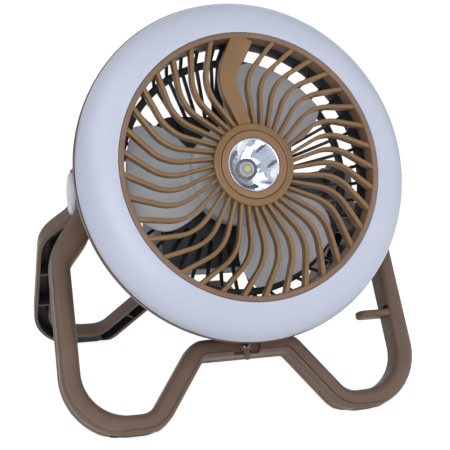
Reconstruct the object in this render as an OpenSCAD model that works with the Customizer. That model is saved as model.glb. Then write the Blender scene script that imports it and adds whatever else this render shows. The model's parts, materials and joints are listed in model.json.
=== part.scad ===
// Portable camping fan with a ring light, on two folding frames that share one pivot axis.
// Millimetres, +Z up, the front of the fan faces -Y, the origin is on the ground below the pivots.
// The head is drawn upright: its own z runs forward along the fan axis, its y runs up.

/* [Stance] */
// Tilt of the fan axis above level
head_tilt = 19; // [5:1:40]
// Lean of each frame away from upright
frame_lean = 33; // [25:1:38]

/* [Light ring] */
// Radius of the opening in the light ring
ring_bore_r = 86.8; // [84:0.2:92]
// Width of the light ring, seen from the front
ring_w = 24.3; // [20:0.5:30]
// How far the crown of the ring stands above its outer edge
ring_rise = 15; // [10:1:20]
// Wall of the diffuser
ring_wall = 2; // [1.5:0.1:3]
// Distance from the pivot axis to the front of the ring
ring_reach = 90; // [86:1:96]
// Number of lamps on the ring's board
ring_lamps = 36; // [24:1:48]

/* [Front grille] */
// Width of the grille's rim
grille_rim_w = 3.4; // [3:0.2:6]
// Depth of the rim's inner wall
grille_rim_d = 10; // [8:1:13]
// Number of rib places round the rim
rib_places = 37; // [29:1:41]
// Radius at which a rib bends
rib_knee_r = 57.8; // [50:0.5:62]
// Lead of the inner half of a rib from the radius, in degrees
rib_lead = 6; // [0:1:12]
// Sweep of the outer half of a rib from the radius, in degrees
rib_sweep = 41.5; // [25:0.5:50]
// Bend radius between the two halves of a rib
rib_bend_r = 27; // [15:1:32]
// Width of a rib at the hub
rib_w_hub = 2.2; // [1.6:0.1:3]
// Width of a rib at the rim
rib_w_rim = 3; // [2:0.1:4]
// Depth of a rib, front to back
rib_d = 6.5; // [4:0.5:9]
// Width of the cable band at the hub
band_w_hub = 8.5; // [6:0.5:11]
// Width of the cable band at the rim
band_w_rim = 14.5; // [10:0.5:18]

/* [Spot lamp] */
// Outer radius of the hub ring
hub_r = 26.8; // [25:0.2:30]
// Radius of the seam between hub ring and bezel
bezel_r = 21.8; // [21:0.2:23]
// Radius of the lamp's mouth
lamp_r = 17; // [14:0.5:18]
// Depth of the lamp's cup behind the hub
cup_d = 19; // [17:1:20]

/* [Rotor] */
// Radius at the tips of the blades
blade_tip_r = 76.5; // [70:0.5:78]
// Radius of the rotor's cap
rotor_cap_r = 34; // [30:1:38]
// Height of the rotor's cap
rotor_cap_h = 15; // [13:1:17]
// Number of blades
blade_count = 3; // [2:1:4]
// Angle that one blade covers
blade_span = 70; // [50:1:80]
// Thickness of a blade
blade_t = 2; // [1.6:0.1:3]
// Radius of the motor's shaft
shaft_r = 2; // [1.5:0.1:3]
// Radius of the motor's can
motor_r = 20; // [16:1:24]

/* [Rear grille] */
// Wall of the air duct at its rear edge
duct_wall = 1.6; // [1.2:0.1:2]
// Distance from the ring's front to the rear edge of the duct
duct_d = 27; // [25:1:30]
// Outer radius of the cage ring
cage_ring_r = 81; // [79:0.5:82]
// Width of the cage ring
cage_ring_w = 5; // [3:0.5:6]
// Number of bars in the rear grille
cage_bars = 45; // [36:1:50]
// Thickness of a bar
cage_bar_t = 2.2; // [1.6:0.1:3]
// Width of the spoke that carries the cable
spoke_w = 14; // [10:1:20]

/* [Battery pod] */
// Width of the pod
pod_w = 100; // [92:1:108]
// Reach of the pod above the fan axis
pod_up = 46; // [42:1:50]
// Reach of the pod below the fan axis
pod_down = 60; // [56:1:66]
// Corner radius of the pod
pod_corner_r = 14; // [8:1:15]
// Wall of the pod
pod_wall = 2.5; // [2:0.1:3.5]
// Distance from the pivot axis forward to the pod's front wall
pod_front = 31; // [29:1:33]
// Distance from the pivot axis back to the pod's rear face
pod_back = 22; // [19:1:30]
// Radius of one battery cell
cell_r = 9.2; // [8.8:0.1:9.4]
// Length of one battery cell
cell_l = 65; // [60:1:66]

/* [Controls] */
// Radius of a push button
button_r = 6; // [4:0.5:8]
// Travel of a push button
button_travel = 1.2; // [0.8:0.1:1.5]
// Distance between the two buttons
button_gap = 22; // [18:1:40]
// Width of the charging socket
socket_w = 9.4; // [9:0.1:11]
// Height of the charging socket
socket_h = 3.6; // [3.2:0.1:4.5]

/* [Pivots] */
// Radius of the pivot bolt
bolt_r = 4; // [3:0.25:5]
// Half of the span between the inner lugs
lug_span = 86.5; // [84:0.5:90]
// Thickness of one lug
lug_t = 5.5; // [4:0.5:7]
// Radius of a lug
lug_r = 14; // [13:0.5:15]
// Radius of the domed cap
cap_r = 15.7; // [14:0.1:17]
// Height of the domed cap
cap_h = 5; // [4:0.5:7]
// Thickness of the friction washer
washer_t = 1; // [0.6:0.1:1.5]

/* [Frames] */
// Width of the frame's channel
rail_w = 13.5; // [12:0.5:16]
// Depth of the frame's channel
rail_d = 14.8; // [12:0.2:16]
// Wall of the channel
rail_wall = 2.4; // [1.8:0.1:3]
// Rounding of the channel's outer corners
rail_round = 4; // [2:0.5:4.5]
// Half of the distance between the legs, centre to centre
leg_x = 117; // [114:1:124]
// Distance from the pivot down to the cross bar
bar_drop = 120; // [110:1:126]
// Half width of the cross bar
bar_half = 32.3; // [28:1:38]
// Half of the distance between the toe corners
toe_x = 65; // [61:0.5:68]
// Distance from the cross bar down to the toe corners
toe_depth = 44; // [38:0.5:50]
// Height of the heel corners above the toe corners
heel_rise = 0.8; // [0:0.2:6]
// Distance from the pivot down to the shoulder corners
shoulder_drop = 39; // [36:1:42]
// Bend radius at the ends of the cross bar
bar_bend_r = 10; // [8.5:0.5:14]
// Bend radius of the toes
toe_bend_r = 16; // [13:1:20]
// Bend radius of the heels
heel_bend_r = 36; // [30:1:38]
// Bend radius of the shoulders
shoulder_bend_r = 37; // [25:1:40]

/* [Foot pads, latch and hook] */
// Height of a rubber foot pad
pad_t = 4; // [3:0.5:5]
// Length of a foot pad
pad_l = 25; // [18:1:30]
// Distance from the middle of the fan to the middle of a foot pad
pad_x = 82.5; // [79:0.5:86]
// Height that the ground takes off the toes at their inner edge
sole_cut = 3.2; // [2.4:0.2:5]
// Length of the latch tab from its screw to its tip
latch_l = 10; // [8:0.5:14]
// Width of the latch tab
latch_w = 8; // [6:0.5:10]
// Length of the cable hook on the right leg
hook_l = 22; // [14:1:28]
// Depth of the cable hook, front to back
hook_d = 8; // [5:0.5:10]
// Thickness of the cable hook
hook_t = 3.4; // [2.4:0.2:5]
// Distance from the pivot down to the cable hook
hook_drop = 106; // [90:1:112]

/* [Hidden] */
$fn = 96;

// Clearance between pieces that move past each other
run_gap = 0.3;
// Radial clearance of a shaft or bolt in its bore
bore_gap = 0.08;
// How far cutters run past the faces that they cut
over = 1;
// A length beyond every part of the fan, for cutters
far = 300;

// Frame outline, from the cross bar out to the shoulder, as corners and bend radii.
// The neck end is where the leg has turned in towards the lugs.
neck_x = 101;
neck_drop = 26;
toe_drop = bar_drop + toe_depth;
heel_drop = toe_drop - heel_rise;
corners = [[bar_half, -bar_drop], [toe_x, -toe_drop], [leg_x, -heel_drop],
    [leg_x, -shoulder_drop], [neck_x, -neck_drop]];
bends = [bar_bend_r, toe_bend_r, heel_bend_r, shoulder_bend_r];

// Lug positions along the pivot axis, from the inside out
rear_lug_x = lug_span;
washer_x = rear_lug_x + lug_t;
front_lug_x = washer_x + washer_t + run_gap;
cap_x = front_lug_x + lug_t;

// Depth range of the rail, measured away from the other frame
rail_in = run_gap / 2;
rail_out = rail_in + rail_d;

// Height of the pivot axis, from the lowest point of the toes
toe_centre = bend_centre(corners[0], corners[1], corners[2], toe_bend_r);
toe_low = -toe_centre[1] + toe_bend_r + rail_w / 2;
pivot_z = toe_low * cos(frame_lean) - rail_in * sin(frame_lean) - sole_cut;
// Free height under the frames beside their pads
plastic_gap = 0.5;
// Seat that the latch turns in, sunk into the bar's outer face, and the boss behind it
latch_sunk = 2.6;
latch_floor = rail_out - latch_sunk;
latch_boss_w = 24;
// Radius of the screw that holds the latch, and the latch's thickness and place
latch_screw_r = 1.5;
latch_screw_l = 6;
latch_t = 1.6;
latch_z = latch_floor + run_gap;

// Light ring and housing, along the head's z
ring_front = ring_reach;
ring_outer_r = ring_bore_r + ring_w;
ring_edge = ring_front - ring_rise;
housing_back = ring_front - duct_d;
housing_wall = 2.4;
board_t = 1.6;
rim_r = ring_bore_r - 0.2;
rim_back = ring_front - grille_rim_d;
grille_open_r = rim_r - grille_rim_w;
duct_r = rim_r - duct_wall;
duct_flange = 5;

// Hub, lamp and rotor, along the head's z
hub_front = ring_front + 0.7;
hub_d = 8;
rib_front = ring_front - 1;
cup_r = bezel_r - 2.6;
cup_back = hub_front - cup_d;
lens_t = 1.2;
lens_front = hub_front - 1.4;
led_t = 2;
rotor_front = cup_back - 6.5;
cap_back = rotor_front - rotor_cap_h;
cap_wall = 2.5;
plate_front = pod_front + pod_wall;
motor_front = rotor_front - cap_wall - 2.5;

// Rear grille, along the head's z
cage_drop = 11;
cage_front = housing_back - cage_drop;
cage_ring_d = 3;

// Pod, along the head's z
cover_front = pod_wall - pod_back;
arm_r = 9;
arm_root_r = 12;
boss_in = 10;
button_y = 18;
flange_t = 1;
stem_l = 3.2;
indicator_y = button_y - 14;
indicator_r = 2.2;
socket_y = -44;
board_z = cover_front + 6;
cell_count = 2;
cell_gap = 0.1;

// ---------- Functions ----------

// Unit vector from p to q
function toward(p, q) = (q - p) / norm(q - p);

// Angle between the two sides that meet at corner b
function corner_angle(a, b, c) = acos(toward(b, a) * toward(b, c));

// Centre of the bend of radius r at corner b
function bend_centre(a, b, c, r) = b + (toward(b, a) + toward(b, c))
    / norm(toward(b, a) + toward(b, c)) * r / sin(corner_angle(a, b, c) / 2);

// Heading of a vector, in degrees
function heading(v) = atan2(v[1], v[0]);

// Turns v by a degrees
function turned(v, a) = [v[0] * cos(a) - v[1] * sin(a), v[0] * sin(a) + v[1] * cos(a)];

// ---------- Placing ----------

// Moves a head piece from its own axes to the tilted head
module on_head() {
    translate([0, 0, pivot_z]) rotate([90 - head_tilt, 0, 0]) children();
}

// Moves a frame piece to the front frame's place, or to the rear frame's when rear is 1
module on_frame(rear) {
    translate([0, 0, pivot_z]) mirror([0, rear, 0]) rotate([90 - frame_lean, 0, 0]) children();
}

// Draws the children on both sides of the fan
module both_sides() {
    children();
    mirror([1, 0, 0]) children();
}

// A cylinder along the pivot axis, from x0 to x1
module along_pivot(x0, x1, r) {
    translate([x0, 0, 0]) rotate([0, 90, 0]) cylinder(h = x1 - x0, r = r);
}

// ---------- Frames ----------

// Steps in one bend of the rail
rail_steps = 7;

// Points and headings round the bend at corner b
function bend_points(a, b, c, r, steps) =
    let (d = toward(a, b))
    let (side = cross(d, toward(b, c)) > 0 ? 1 : -1)
    let (turn = 180 - corner_angle(a, b, c))
    let (mid = bend_centre(a, b, c, r))
    [for (i = [0 : steps])
        let (dir = turned(d, side * turn * i / steps))
        [mid + turned(dir, -90 * side) * r, dir]];

// Centre line of half the frame, from the middle of the cross bar to the neck
bar_mid = [0, corners[0][1]];
line_corners = concat([bar_mid], corners);
half_line = [for (i = [1 : 4]) each bend_points(line_corners[i - 1], line_corners[i],
    line_corners[i + 1], bends[i - 1], rail_steps)];
right_line = concat(half_line, [[corners[4], toward(corners[3], corners[4])]]);
left_line = [for (i = [len(right_line) - 1 : -1 : 0])
    let (s = right_line[i]) [[-s[0][0], s[0][1]], [s[1][0], -s[1][1]]]];
frame_line = concat(left_line, right_line);
channel_line = [for (i = [1 : len(frame_line) - 2]) frame_line[i]];

// Left and right edges of a strip of width w along a line of points and headings
function left_edge(line, w) = [for (s = line) s[0] + turned(s[1], 90) * w / 2];
function right_edge(line, w) = [for (i = [len(line) - 1 : -1 : 0])
    line[i][0] - turned(line[i][1], 90) * w / 2];

// Outline of a strip of the given width along a line
module strip(line, w) {
    polygon(concat(left_edge(line, w), right_edge(line, w)));
}

// Outline of the whole rail at width w, with necks that narrow to lugs starting at x0
module rail_outline(w, x0) {
    low = -cap_r - 0.8;
    high = -lug_r * 0.2;
    x1 = x0 + lug_t;
    polygon(concat(left_edge(frame_line, w), [[x0, low], [x0, high], [x1, high], [x1, low]],
        right_edge(frame_line, w), [[-x1, low], [-x1, high], [-x0, high], [-x0, low]]));
}

// The rail: three levels that step in towards its outer face, over an open channel
module rail(x0) {
    difference() {
        union() {
            translate([0, 0, rail_in])
                linear_extrude(rail_d - rail_round * 0.6) rail_outline(rail_w, x0);
            translate([0, 0, rail_in + 1])
                linear_extrude(rail_d - 1 - rail_round * 0.2) rail_outline(rail_w - rail_round * 0.35, x0);
            translate([0, 0, rail_in + 1])
                linear_extrude(rail_d - 1) rail_outline(rail_w - rail_round * 1.1, x0);
        }
        translate([0, 0, rail_in - over]) linear_extrude(rail_d - rail_wall + over)
            strip(channel_line, rail_w - 2 * rail_wall);
    }
}

// Solid filling of the channel around the foot pad
module toe_block() {
    translate([0, 0, rail_in + 0.05]) linear_extrude(rail_d - rail_wall + 0.5) intersection() {
        strip(channel_line, rail_w - rail_wall);
        translate([pad_x - pad_l / 2 - rail_wall, -toe_drop - rail_w])
            square([pad_l + 2 * rail_wall, 2 * rail_w]);
    }
}

// Thin webs that stiffen the channel, at fractions of the way between two corners
module half_webs() {
    web_t = 1.4;
    for (spot = [[0, 0.62], [1, 0.5], [3, 0.3], [3, 0.45], [3, 0.6]]) {
        p = line_corners[spot[0]];
        q = line_corners[spot[0] + 1];
        m = p + (q - p) * spot[1];
        translate([m[0], m[1], 0]) rotate([0, 0, heading(q - p)])
            translate([-web_t / 2, (rail_wall - rail_w) / 2, 2])
                cube([web_t, rail_w - rail_wall, rail_d - rail_wall - 1]);
    }
}

// A whole frame: the rail with a toe block, webs and a lug on each side
module frame_body(x0) {
    difference() {
        union() {
            rail(x0);
            both_sides() {
                toe_block();
                half_webs();
                along_pivot(x0, x0 + lug_t, lug_r);
            }
        }
        both_sides() along_pivot(x0 - over, x0 + lug_t + over, bolt_r + bore_gap);
    }
}

// The slab that a frame's foot pads fill, between two heights
module pad_slab(side, low, high) {
    translate([side * pad_x - pad_l / 2, -far, low]) cube([pad_l, 2 * far, high - low]);
}

// What the ground and the pads' pockets take off a frame
module ground_cut() {
    translate([-far, -far, plastic_gap - far]) cube([2 * far, 2 * far, far]);
    for (side = [-1, 1]) pad_slab(side, -far, pad_t);
}

// Middle of the cable hook's depth, and the leg's inner face
hook_n = rail_in + rail_d / 2;
leg_in = leg_x - rail_w / 2;

// Fixed flat finger with a round tip on the inner side of the right leg
module cable_hook() {
    tip = leg_in - hook_l + hook_d / 2;
    translate([0, hook_t - hook_drop, 0]) rotate([90, 0, 0]) linear_extrude(hook_t) {
        translate([tip, hook_n]) circle(r = hook_d / 2);
        translate([tip, hook_n - hook_d / 2]) square([leg_in + rail_wall / 2 - tip, hook_d]);
    }
}

// Slot in the leg's inner wall, over the hook
module hook_slot() {
    slot_h = 2.2;
    slot_d = hook_d - 1;
    translate([leg_in - over, hook_t + 0.6 - hook_drop, hook_n - slot_d / 2])
        cube([rail_wall + 2 * over, slot_h, slot_d]);
}

// Solid filling of the cross bar's channel, for the latch's screw
module latch_boss() {
    translate([0, 0, rail_in + 0.05]) linear_extrude(rail_d - rail_wall + 0.5) intersection() {
        strip(channel_line, rail_w - rail_wall);
        translate([-latch_boss_w / 2, -bar_drop - rail_w]) square([latch_boss_w, 2 * rail_w]);
    }
}

// Seat in the bar's outer face, wide enough for the latch to turn half a circle
module latch_seat() {
    translate([0, -bar_drop, latch_floor]) {
        cylinder(h = latch_sunk + over, r = latch_w / 2 + run_gap);
        intersection() {
            cylinder(h = latch_sunk + over, r = latch_l + run_gap);
            translate([-far, -far, 0]) cube([2 * far, far + latch_w / 4 + run_gap, far]);
        }
    }
}

module front_frame() color("#73625a") difference() {
    on_frame(0) difference() {
        union() {
            frame_body(front_lug_x);
            cable_hook();
            latch_boss();
        }
        hook_slot();
        latch_seat();
        translate([0, -bar_drop, 0]) cylinder(h = rail_d + 2 * over, r = latch_screw_r + bore_gap);
    }
    ground_cut();
}

module rear_frame() color("#6b5b53") difference() {
    on_frame(1) frame_body(rear_lug_x);
    ground_cut();
}

// Rubber pad that completes the toe's lower edge down to the ground, side is -1 or 1, rear is 0 or 1
module foot_pad(side, rear) color("#1c1c1e") intersection() {
    on_frame(rear) translate([0, 0, rail_in]) linear_extrude(rail_d) strip(frame_line, rail_w);
    pad_slab(side, 0, pad_t);
}

// Bolt through the lugs into the head's arm, side is -1 or 1
module pivot_bolt(side) color("#c9ccd1") translate([0, 0, pivot_z]) mirror([side < 0 ? 1 : 0, 0, 0]) {
    along_pivot(pod_w / 2 - boss_in, cap_x, bolt_r);
    along_pivot(cap_x, cap_x + 2, bolt_r * 1.6);
}

// Sphere that passes through the cap's top and its edge
dome_edge = 1.2;
dome_r = (pow(cap_r, 2) + pow(cap_h - dome_edge, 2)) / (2 * (cap_h - dome_edge));

// Domed cap over the bolt's head
module pivot_cap(side) color("#d5d7dd") translate([0, 0, pivot_z]) mirror([side < 0 ? 1 : 0, 0, 0])
    translate([cap_x, 0, 0]) rotate([0, 90, 0]) difference() {
        intersection() {
            cylinder(h = cap_h, r = cap_r);
            translate([0, 0, cap_h - dome_r]) sphere(r = dome_r);
        }
        translate([0, 0, -over]) cylinder(h = over + 2.2, r = bolt_r * 1.6 + 0.2);
    }

// Friction washer between the two lugs
module pivot_washer(side) color("#2a2a2c") translate([0, 0, pivot_z])
    mirror([side < 0 ? 1 : 0, 0, 0]) difference() {
        along_pivot(washer_x, washer_x + washer_t, lug_r - 2);
        along_pivot(washer_x - over, washer_x + washer_t + over, bolt_r + bore_gap);
    }

// Turning tab on the cross bar
module latch_tab() color("#6f5c50") on_frame(0) translate([0, -bar_drop, latch_z])
    difference() {
        union() {
            cylinder(h = latch_t, r = latch_w / 2);
            translate([-latch_w / 4, -latch_l + latch_w / 4, 0])
                cube([latch_w / 2, latch_l - latch_w / 4, latch_t]);
            translate([0, latch_w / 4 - latch_l, 0]) cylinder(h = latch_t, r = latch_w / 4);
        }
        translate([0, 0, -over]) cylinder(h = latch_t + 2 * over, r = latch_screw_r + bore_gap);
    }

module latch_screw() color("#b9b4ad") on_frame(0) translate([0, -bar_drop, 0]) {
    head_z = latch_z + latch_t + run_gap;
    translate([0, 0, latch_floor - latch_screw_l])
        cylinder(h = head_z + 0.2 - latch_floor + latch_screw_l, r = latch_screw_r);
    translate([0, 0, head_z]) cylinder(h = 1, r = 2.8);
}

// ---------- Light ring and housing ----------

// Points of a quarter ellipse from the crown to the edge
function crown_line(a, b, base, steps) =
    [for (i = [0 : steps]) [ring_bore_r + a * sin(90 * i / steps), base + b * cos(90 * i / steps)]];

module diffuser_ring() color("#dfe3f2") on_head() rotate_extrude() {
    outer = crown_line(ring_w, ring_rise, ring_edge, 14);
    inner = crown_line(ring_w - ring_wall, ring_rise - ring_wall, ring_edge, 14);
    polygon(concat(outer, [for (i = [14 : -1 : 1]) inner[i]],
        [[ring_bore_r + ring_wall, ring_front - ring_wall], [ring_bore_r + ring_wall, ring_edge - 2],
         [ring_bore_r, ring_edge - 2]]));
}

module head_housing() color("#7d6552") on_head() rotate_extrude()
    polygon([[ring_bore_r, ring_edge - 2], [ring_bore_r, housing_back],
        [ring_outer_r - 5, housing_back], [ring_outer_r - 1.2, housing_back + 3],
        [ring_outer_r + 0.6, housing_back + 7], [ring_outer_r + 0.6, ring_edge],
        [ring_outer_r - ring_wall - 0.6, ring_edge], [ring_outer_r - ring_wall - 0.6, housing_back + 7],
        [ring_outer_r - 4.6, housing_back + housing_wall],
        [ring_bore_r + ring_wall, housing_back + housing_wall],
        [ring_bore_r + ring_wall, ring_edge - 2]]);

module ring_board() color("#f4f4f0") on_head() translate([0, 0, housing_back + housing_wall]) {
    mid_r = ring_bore_r + ring_w / 2 - 1;
    difference() {
        cylinder(h = board_t, r = mid_r + 7);
        translate([0, 0, -over]) cylinder(h = board_t + 2 * over, r = mid_r - 7);
    }
    for (i = [0 : ring_lamps - 1])
        rotate([0, 0, 360 * i / ring_lamps]) translate([mid_r - 1.4, -1.4, board_t - 0.4])
            cube([2.8, 2.8, 1.2]);
}

// ---------- Front grille ----------

// A rib's centre line: a straight lead, a bend at the knee and a straight sweep to the rim.
// Each point holds x, y, the heading and the distance run.
rib_start = hub_r - 0.8;
rib_end = grille_open_r + 1.2;
knee = [rib_knee_r, 0];
lead_dir = turned([1, 0], rib_lead);
sweep_dir = turned([1, 0], -rib_sweep);
knee_back = rib_bend_r * tan((rib_lead + rib_sweep) / 2);

// Distance from the knee, along dir, at which the line meets the circle of radius r
function reach(dir, r, sign) = let (b = knee * dir)
    -b + sign * sqrt(b * b - rib_knee_r * rib_knee_r + r * r);

rib_in = knee + lead_dir * reach(lead_dir, rib_start, 1);
rib_bend_in = knee - lead_dir * knee_back;
rib_out = knee + sweep_dir * reach(sweep_dir, rib_end, 1);
rib_bend_mid = rib_bend_in + turned(lead_dir, -90) * rib_bend_r;
bend_steps = 8;
rib_line = concat(
    [[rib_in, lead_dir]],
    [for (i = [0 : bend_steps])
        let (dir = turned(lead_dir, -(rib_lead + rib_sweep) * i / bend_steps))
        [rib_bend_mid + turned(dir, 90) * rib_bend_r, dir]],
    [[rib_out, sweep_dir]]);

// Half width of a rib at point p, growing from the hub to the rim
function half_width(p, w0, w1) =
    (w0 + (w1 - w0) * (norm(p) - rib_start) / (rib_end - rib_start)) / 2;

// Outline of a rib whose width goes from w0 at the hub to w1 at the rim
module rib_outline(w0, w1) {
    left = [for (s = rib_line) s[0] + turned(s[1], 90) * half_width(s[0], w0, w1)];
    right = [for (s = rib_line) s[0] - turned(s[1], 90) * half_width(s[0], w0, w1)];
    polygon(concat(left, [for (i = [len(right) - 1 : -1 : 0]) right[i]]));
}

rib_pitch = 360 / rib_places;
first_rib = 2.4;
band_place = 10.5;

module front_grille() color("#8f6f4e") on_head() {
    // Rim with its inner wall
    rotate_extrude() polygon([[grille_open_r - 0.6, rim_back], [rim_r, rim_back],
        [rim_r, ring_front - 0.6], [rim_r - 0.6, ring_front], [grille_open_r + 0.8, ring_front],
        [grille_open_r, ring_front - 0.8]]);
    // Ribs, with two places left free for the cable band
    for (i = [0 : rib_places - 1])
        if (abs(i - band_place) > 0.9)
            rotate([0, 0, first_rib + i * rib_pitch]) translate([0, 0, rib_front - rib_d])
                linear_extrude(rib_d) rib_outline(rib_w_hub, rib_w_rim);
    rotate([0, 0, first_rib + band_place * rib_pitch]) translate([0, 0, rib_front - rib_d])
        linear_extrude(rib_d + 0.4) rib_outline(band_w_hub, band_w_rim);
    // Hub ring
    rotate_extrude() polygon([[bezel_r + 0.2, hub_front - hub_d], [hub_r, hub_front - hub_d],
        [hub_r, hub_front - 1.6], [hub_r - 1.6, hub_front], [bezel_r + 0.2, hub_front]]);
}

// ---------- Spot lamp ----------

module hub_bezel() color("#94744f") on_head() rotate_extrude()
    polygon([[lamp_r + 0.1, lens_front], [lamp_r + 0.1, lens_front - lens_t], [cup_r, lens_front - lens_t],
        [cup_r, hub_front - 4], [bezel_r, hub_front - 4], [bezel_r, hub_front - 0.4],
        [bezel_r - 0.6, hub_front], [lamp_r + 1.2, hub_front]]);

// Cup that holds the lamp, with a flange under the hub ring
module spot_cup() color("#8a6b4c") on_head() difference() {
    union() {
        translate([0, 0, cup_back]) cylinder(h = lens_front - lens_t - cup_back, r = cup_r);
        translate([0, 0, hub_front - hub_d - 2]) cylinder(h = 2, r = hub_r - 1);
    }
    translate([0, 0, cup_back + 2]) cylinder(h = cup_d, r = lamp_r + 0.1);
}

// Polished bowl: an open paraboloid from the lamp's seat to its mouth
bowl_seat_r = 4.4;
bowl_back = cup_back + 2 + led_t;
bowl_front = lens_front - lens_t - 0.2;
function bowl_r(f) = sqrt(bowl_seat_r * bowl_seat_r + f * (lamp_r * lamp_r - bowl_seat_r * bowl_seat_r));
module spot_reflector() color("#e8eaee") on_head() rotate_extrude() {
    steps = 8;
    wall = 0.8;
    line = [for (i = [0 : steps])
        [bowl_r(i / steps) - wall, bowl_back + (bowl_front - bowl_back) * i / steps]];
    polygon(concat(line, [for (i = [steps : -1 : 0]) line[i] + [wall, 0]]));
}

module spot_led() color("#e8d86a") on_head() translate([0, 0, cup_back + 2]) {
    cylinder(h = led_t, r = lamp_r - 4);
    translate([0, 0, led_t]) cylinder(h = 0.8, r = 3.2);
    translate([-1.2, -1.2, led_t + 0.8]) cube([2.4, 2.4, 0.5]);
}

module spot_lens() color("#f2f6fa") on_head()
    translate([0, 0, lens_front - lens_t]) cylinder(h = lens_t, r = lamp_r);

// ---------- Rotor and motor ----------

// Angles and heights of a blade's two edges; f runs from 0 at the root to 1 at the tip
function blade_start(f) = 31 - 5 * sin(180 * f) + 4 * pow(f, 4);
function blade_end(f) = 31 + blade_span - 4 * f - 16 * pow(f, 5);
function blade_low(f) = cap_back + 1 + (rotor_cap_h - 8.5) * f;
function blade_high(f) = rotor_front - 2.5 - 0.5 * f;

// Point of the blade's middle surface; g runs from the trailing to the leading edge
function blade_point(f, g, lift) =
    let (r = rotor_cap_r - 1.2 + (blade_tip_r - rotor_cap_r + 1.2) * f)
    let (a = blade_start(f) + (blade_end(f) - blade_start(f)) * g)
    let (z = blade_low(f) + (blade_high(f) - blade_low(f)) * (g + 0.12 * sin(360 * g)))
    [r * cos(a), r * sin(a), z + lift];

// One blade as a closed grid of two faces and four edges
module blade() {
    n = 7;
    m = 9;
    step = n + 1;
    side = (n + 1) * (m + 1);
    pts = [for (lift = [-blade_t / 2, blade_t / 2]) for (j = [0 : m]) for (i = [0 : n])
        blade_point(i / n, j / m, lift)];
    low = [for (j = [0 : m - 1]) for (i = [0 : n - 1])
        let (k = j * step + i) each [[k, k + 1, k + step + 1], [k, k + step + 1, k + step]]];
    high = [for (j = [0 : m - 1]) for (i = [0 : n - 1])
        let (k = side + j * step + i) each [[k, k + step + 1, k + 1], [k, k + step, k + step + 1]]];
    edge = concat([for (i = [0 : n - 1]) [i, i + 1]],
        [for (j = [0 : m - 1]) [j * step + n, (j + 1) * step + n]],
        [for (i = [n : -1 : 1]) [m * step + i, m * step + i - 1]],
        [for (j = [m : -1 : 1]) [j * step, (j - 1) * step]]);
    rim = [for (e = edge) each [[e[0], side + e[1], e[1]], [e[0], side + e[0], side + e[1]]]];
    polyhedron(points = pts, faces = concat(low, high, rim), convexity = 4);
}

module fan_rotor() color("#d3d4da") on_head() {
    boss_r = 5;
    boss_back = rotor_front - cap_wall - 6;
    rotate_extrude() polygon([[shaft_r, boss_back], [boss_r, boss_back],
        [boss_r, rotor_front - cap_wall], [rotor_cap_r - cap_wall, rotor_front - cap_wall - 1.5],
        [rotor_cap_r - cap_wall, cap_back], [rotor_cap_r, cap_back], [rotor_cap_r, rotor_front - 3],
        [rotor_cap_r - 3, rotor_front - 0.8], [rotor_cap_r / 2, rotor_front], [shaft_r, rotor_front]]);
    for (i = [0 : blade_count - 1])
        rotate([0, 0, i * 360 / blade_count]) blade();
}

module motor_shaft() color("#c2c5ca") on_head()
    translate([0, 0, plate_front + 4]) cylinder(h = rotor_front - 0.6 - plate_front - 4, r = shaft_r);

// Motor can with a step that clears the rotor's boss
module motor_can() color("#3a3c40") on_head() difference() {
    union() {
        translate([0, 0, plate_front]) cylinder(h = 3, r = motor_r + 5);
        translate([0, 0, plate_front]) cylinder(h = motor_front - 4.5 - plate_front, r = motor_r);
    }
    translate([0, 0, plate_front + 3]) cylinder(h = motor_front, r = shaft_r + bore_gap);
}

// ---------- Rear grille and pod ----------

// Outline of the pod, inset by the given amount
module pod_outline(inset) {
    r = pod_corner_r - inset;
    x = pod_w / 2 - pod_corner_r;
    union() {
        for (sx = [-1, 1]) {
            translate([sx * x, pod_up - pod_corner_r]) circle(r = r);
            translate([sx * x, pod_corner_r - pod_down]) circle(r = r);
        }
        translate([-x, inset - pod_down]) square([2 * x, pod_up + pod_down - 2 * inset]);
        translate([inset - pod_w / 2, pod_corner_r - pod_down])
            square([pod_w - 2 * inset, pod_up + pod_down - 2 * pod_corner_r]);
    }
}

// One bar in the plane of radius and height: down the duct's cone, across the ring, in to the pod
module bar_outline() {
    inner_r = 44;
    sunk = 0.4;
    outer_r = cage_ring_r - sunk;
    turn_r = cage_ring_r - cage_ring_w + 1;
    polygon([[duct_r + 1, housing_back + 1], [duct_r + 1, housing_back - 1.5],
        [outer_r, cage_front - cage_ring_d + sunk], [turn_r, cage_front - cage_ring_d + sunk],
        [inner_r, pod_front + sunk], [inner_r, plate_front + 0.8],
        [turn_r, cage_front + sunk], [cage_ring_r - 1, cage_front + sunk],
        [duct_r - 0.3, housing_back + 0.4]]);
}

module rear_grille() color("#25272c") on_head() {
    // Duct wall with its flange against the housing
    rotate_extrude() polygon([[duct_r - 0.6, rim_back], [rim_r, rim_back], [rim_r, housing_back],
        [rim_r + duct_flange, housing_back], [rim_r + duct_flange, housing_back - 2],
        [duct_r, housing_back - 2]]);
    // Cage ring
    rotate_extrude() translate([cage_ring_r - cage_ring_w, cage_front - cage_ring_d])
        square([cage_ring_w, cage_ring_d]);
    // Bars
    for (i = [1 : cage_bars - 1])
        rotate([0, 0, 90 + i * 360 / cage_bars]) rotate([90, 0, 0])
            translate([0, 0, -cage_bar_t / 2]) linear_extrude(cage_bar_t) bar_outline();
    // Wide spoke for the cable
    rotate([0, 0, 90]) rotate([90, 0, 0])
        translate([0, 0, -spoke_w / 2]) linear_extrude(spoke_w) bar_outline();
    // Plate that closes the pod and carries the motor
    translate([0, 0, pod_front]) linear_extrude(pod_wall) pod_outline(0);
}

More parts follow.
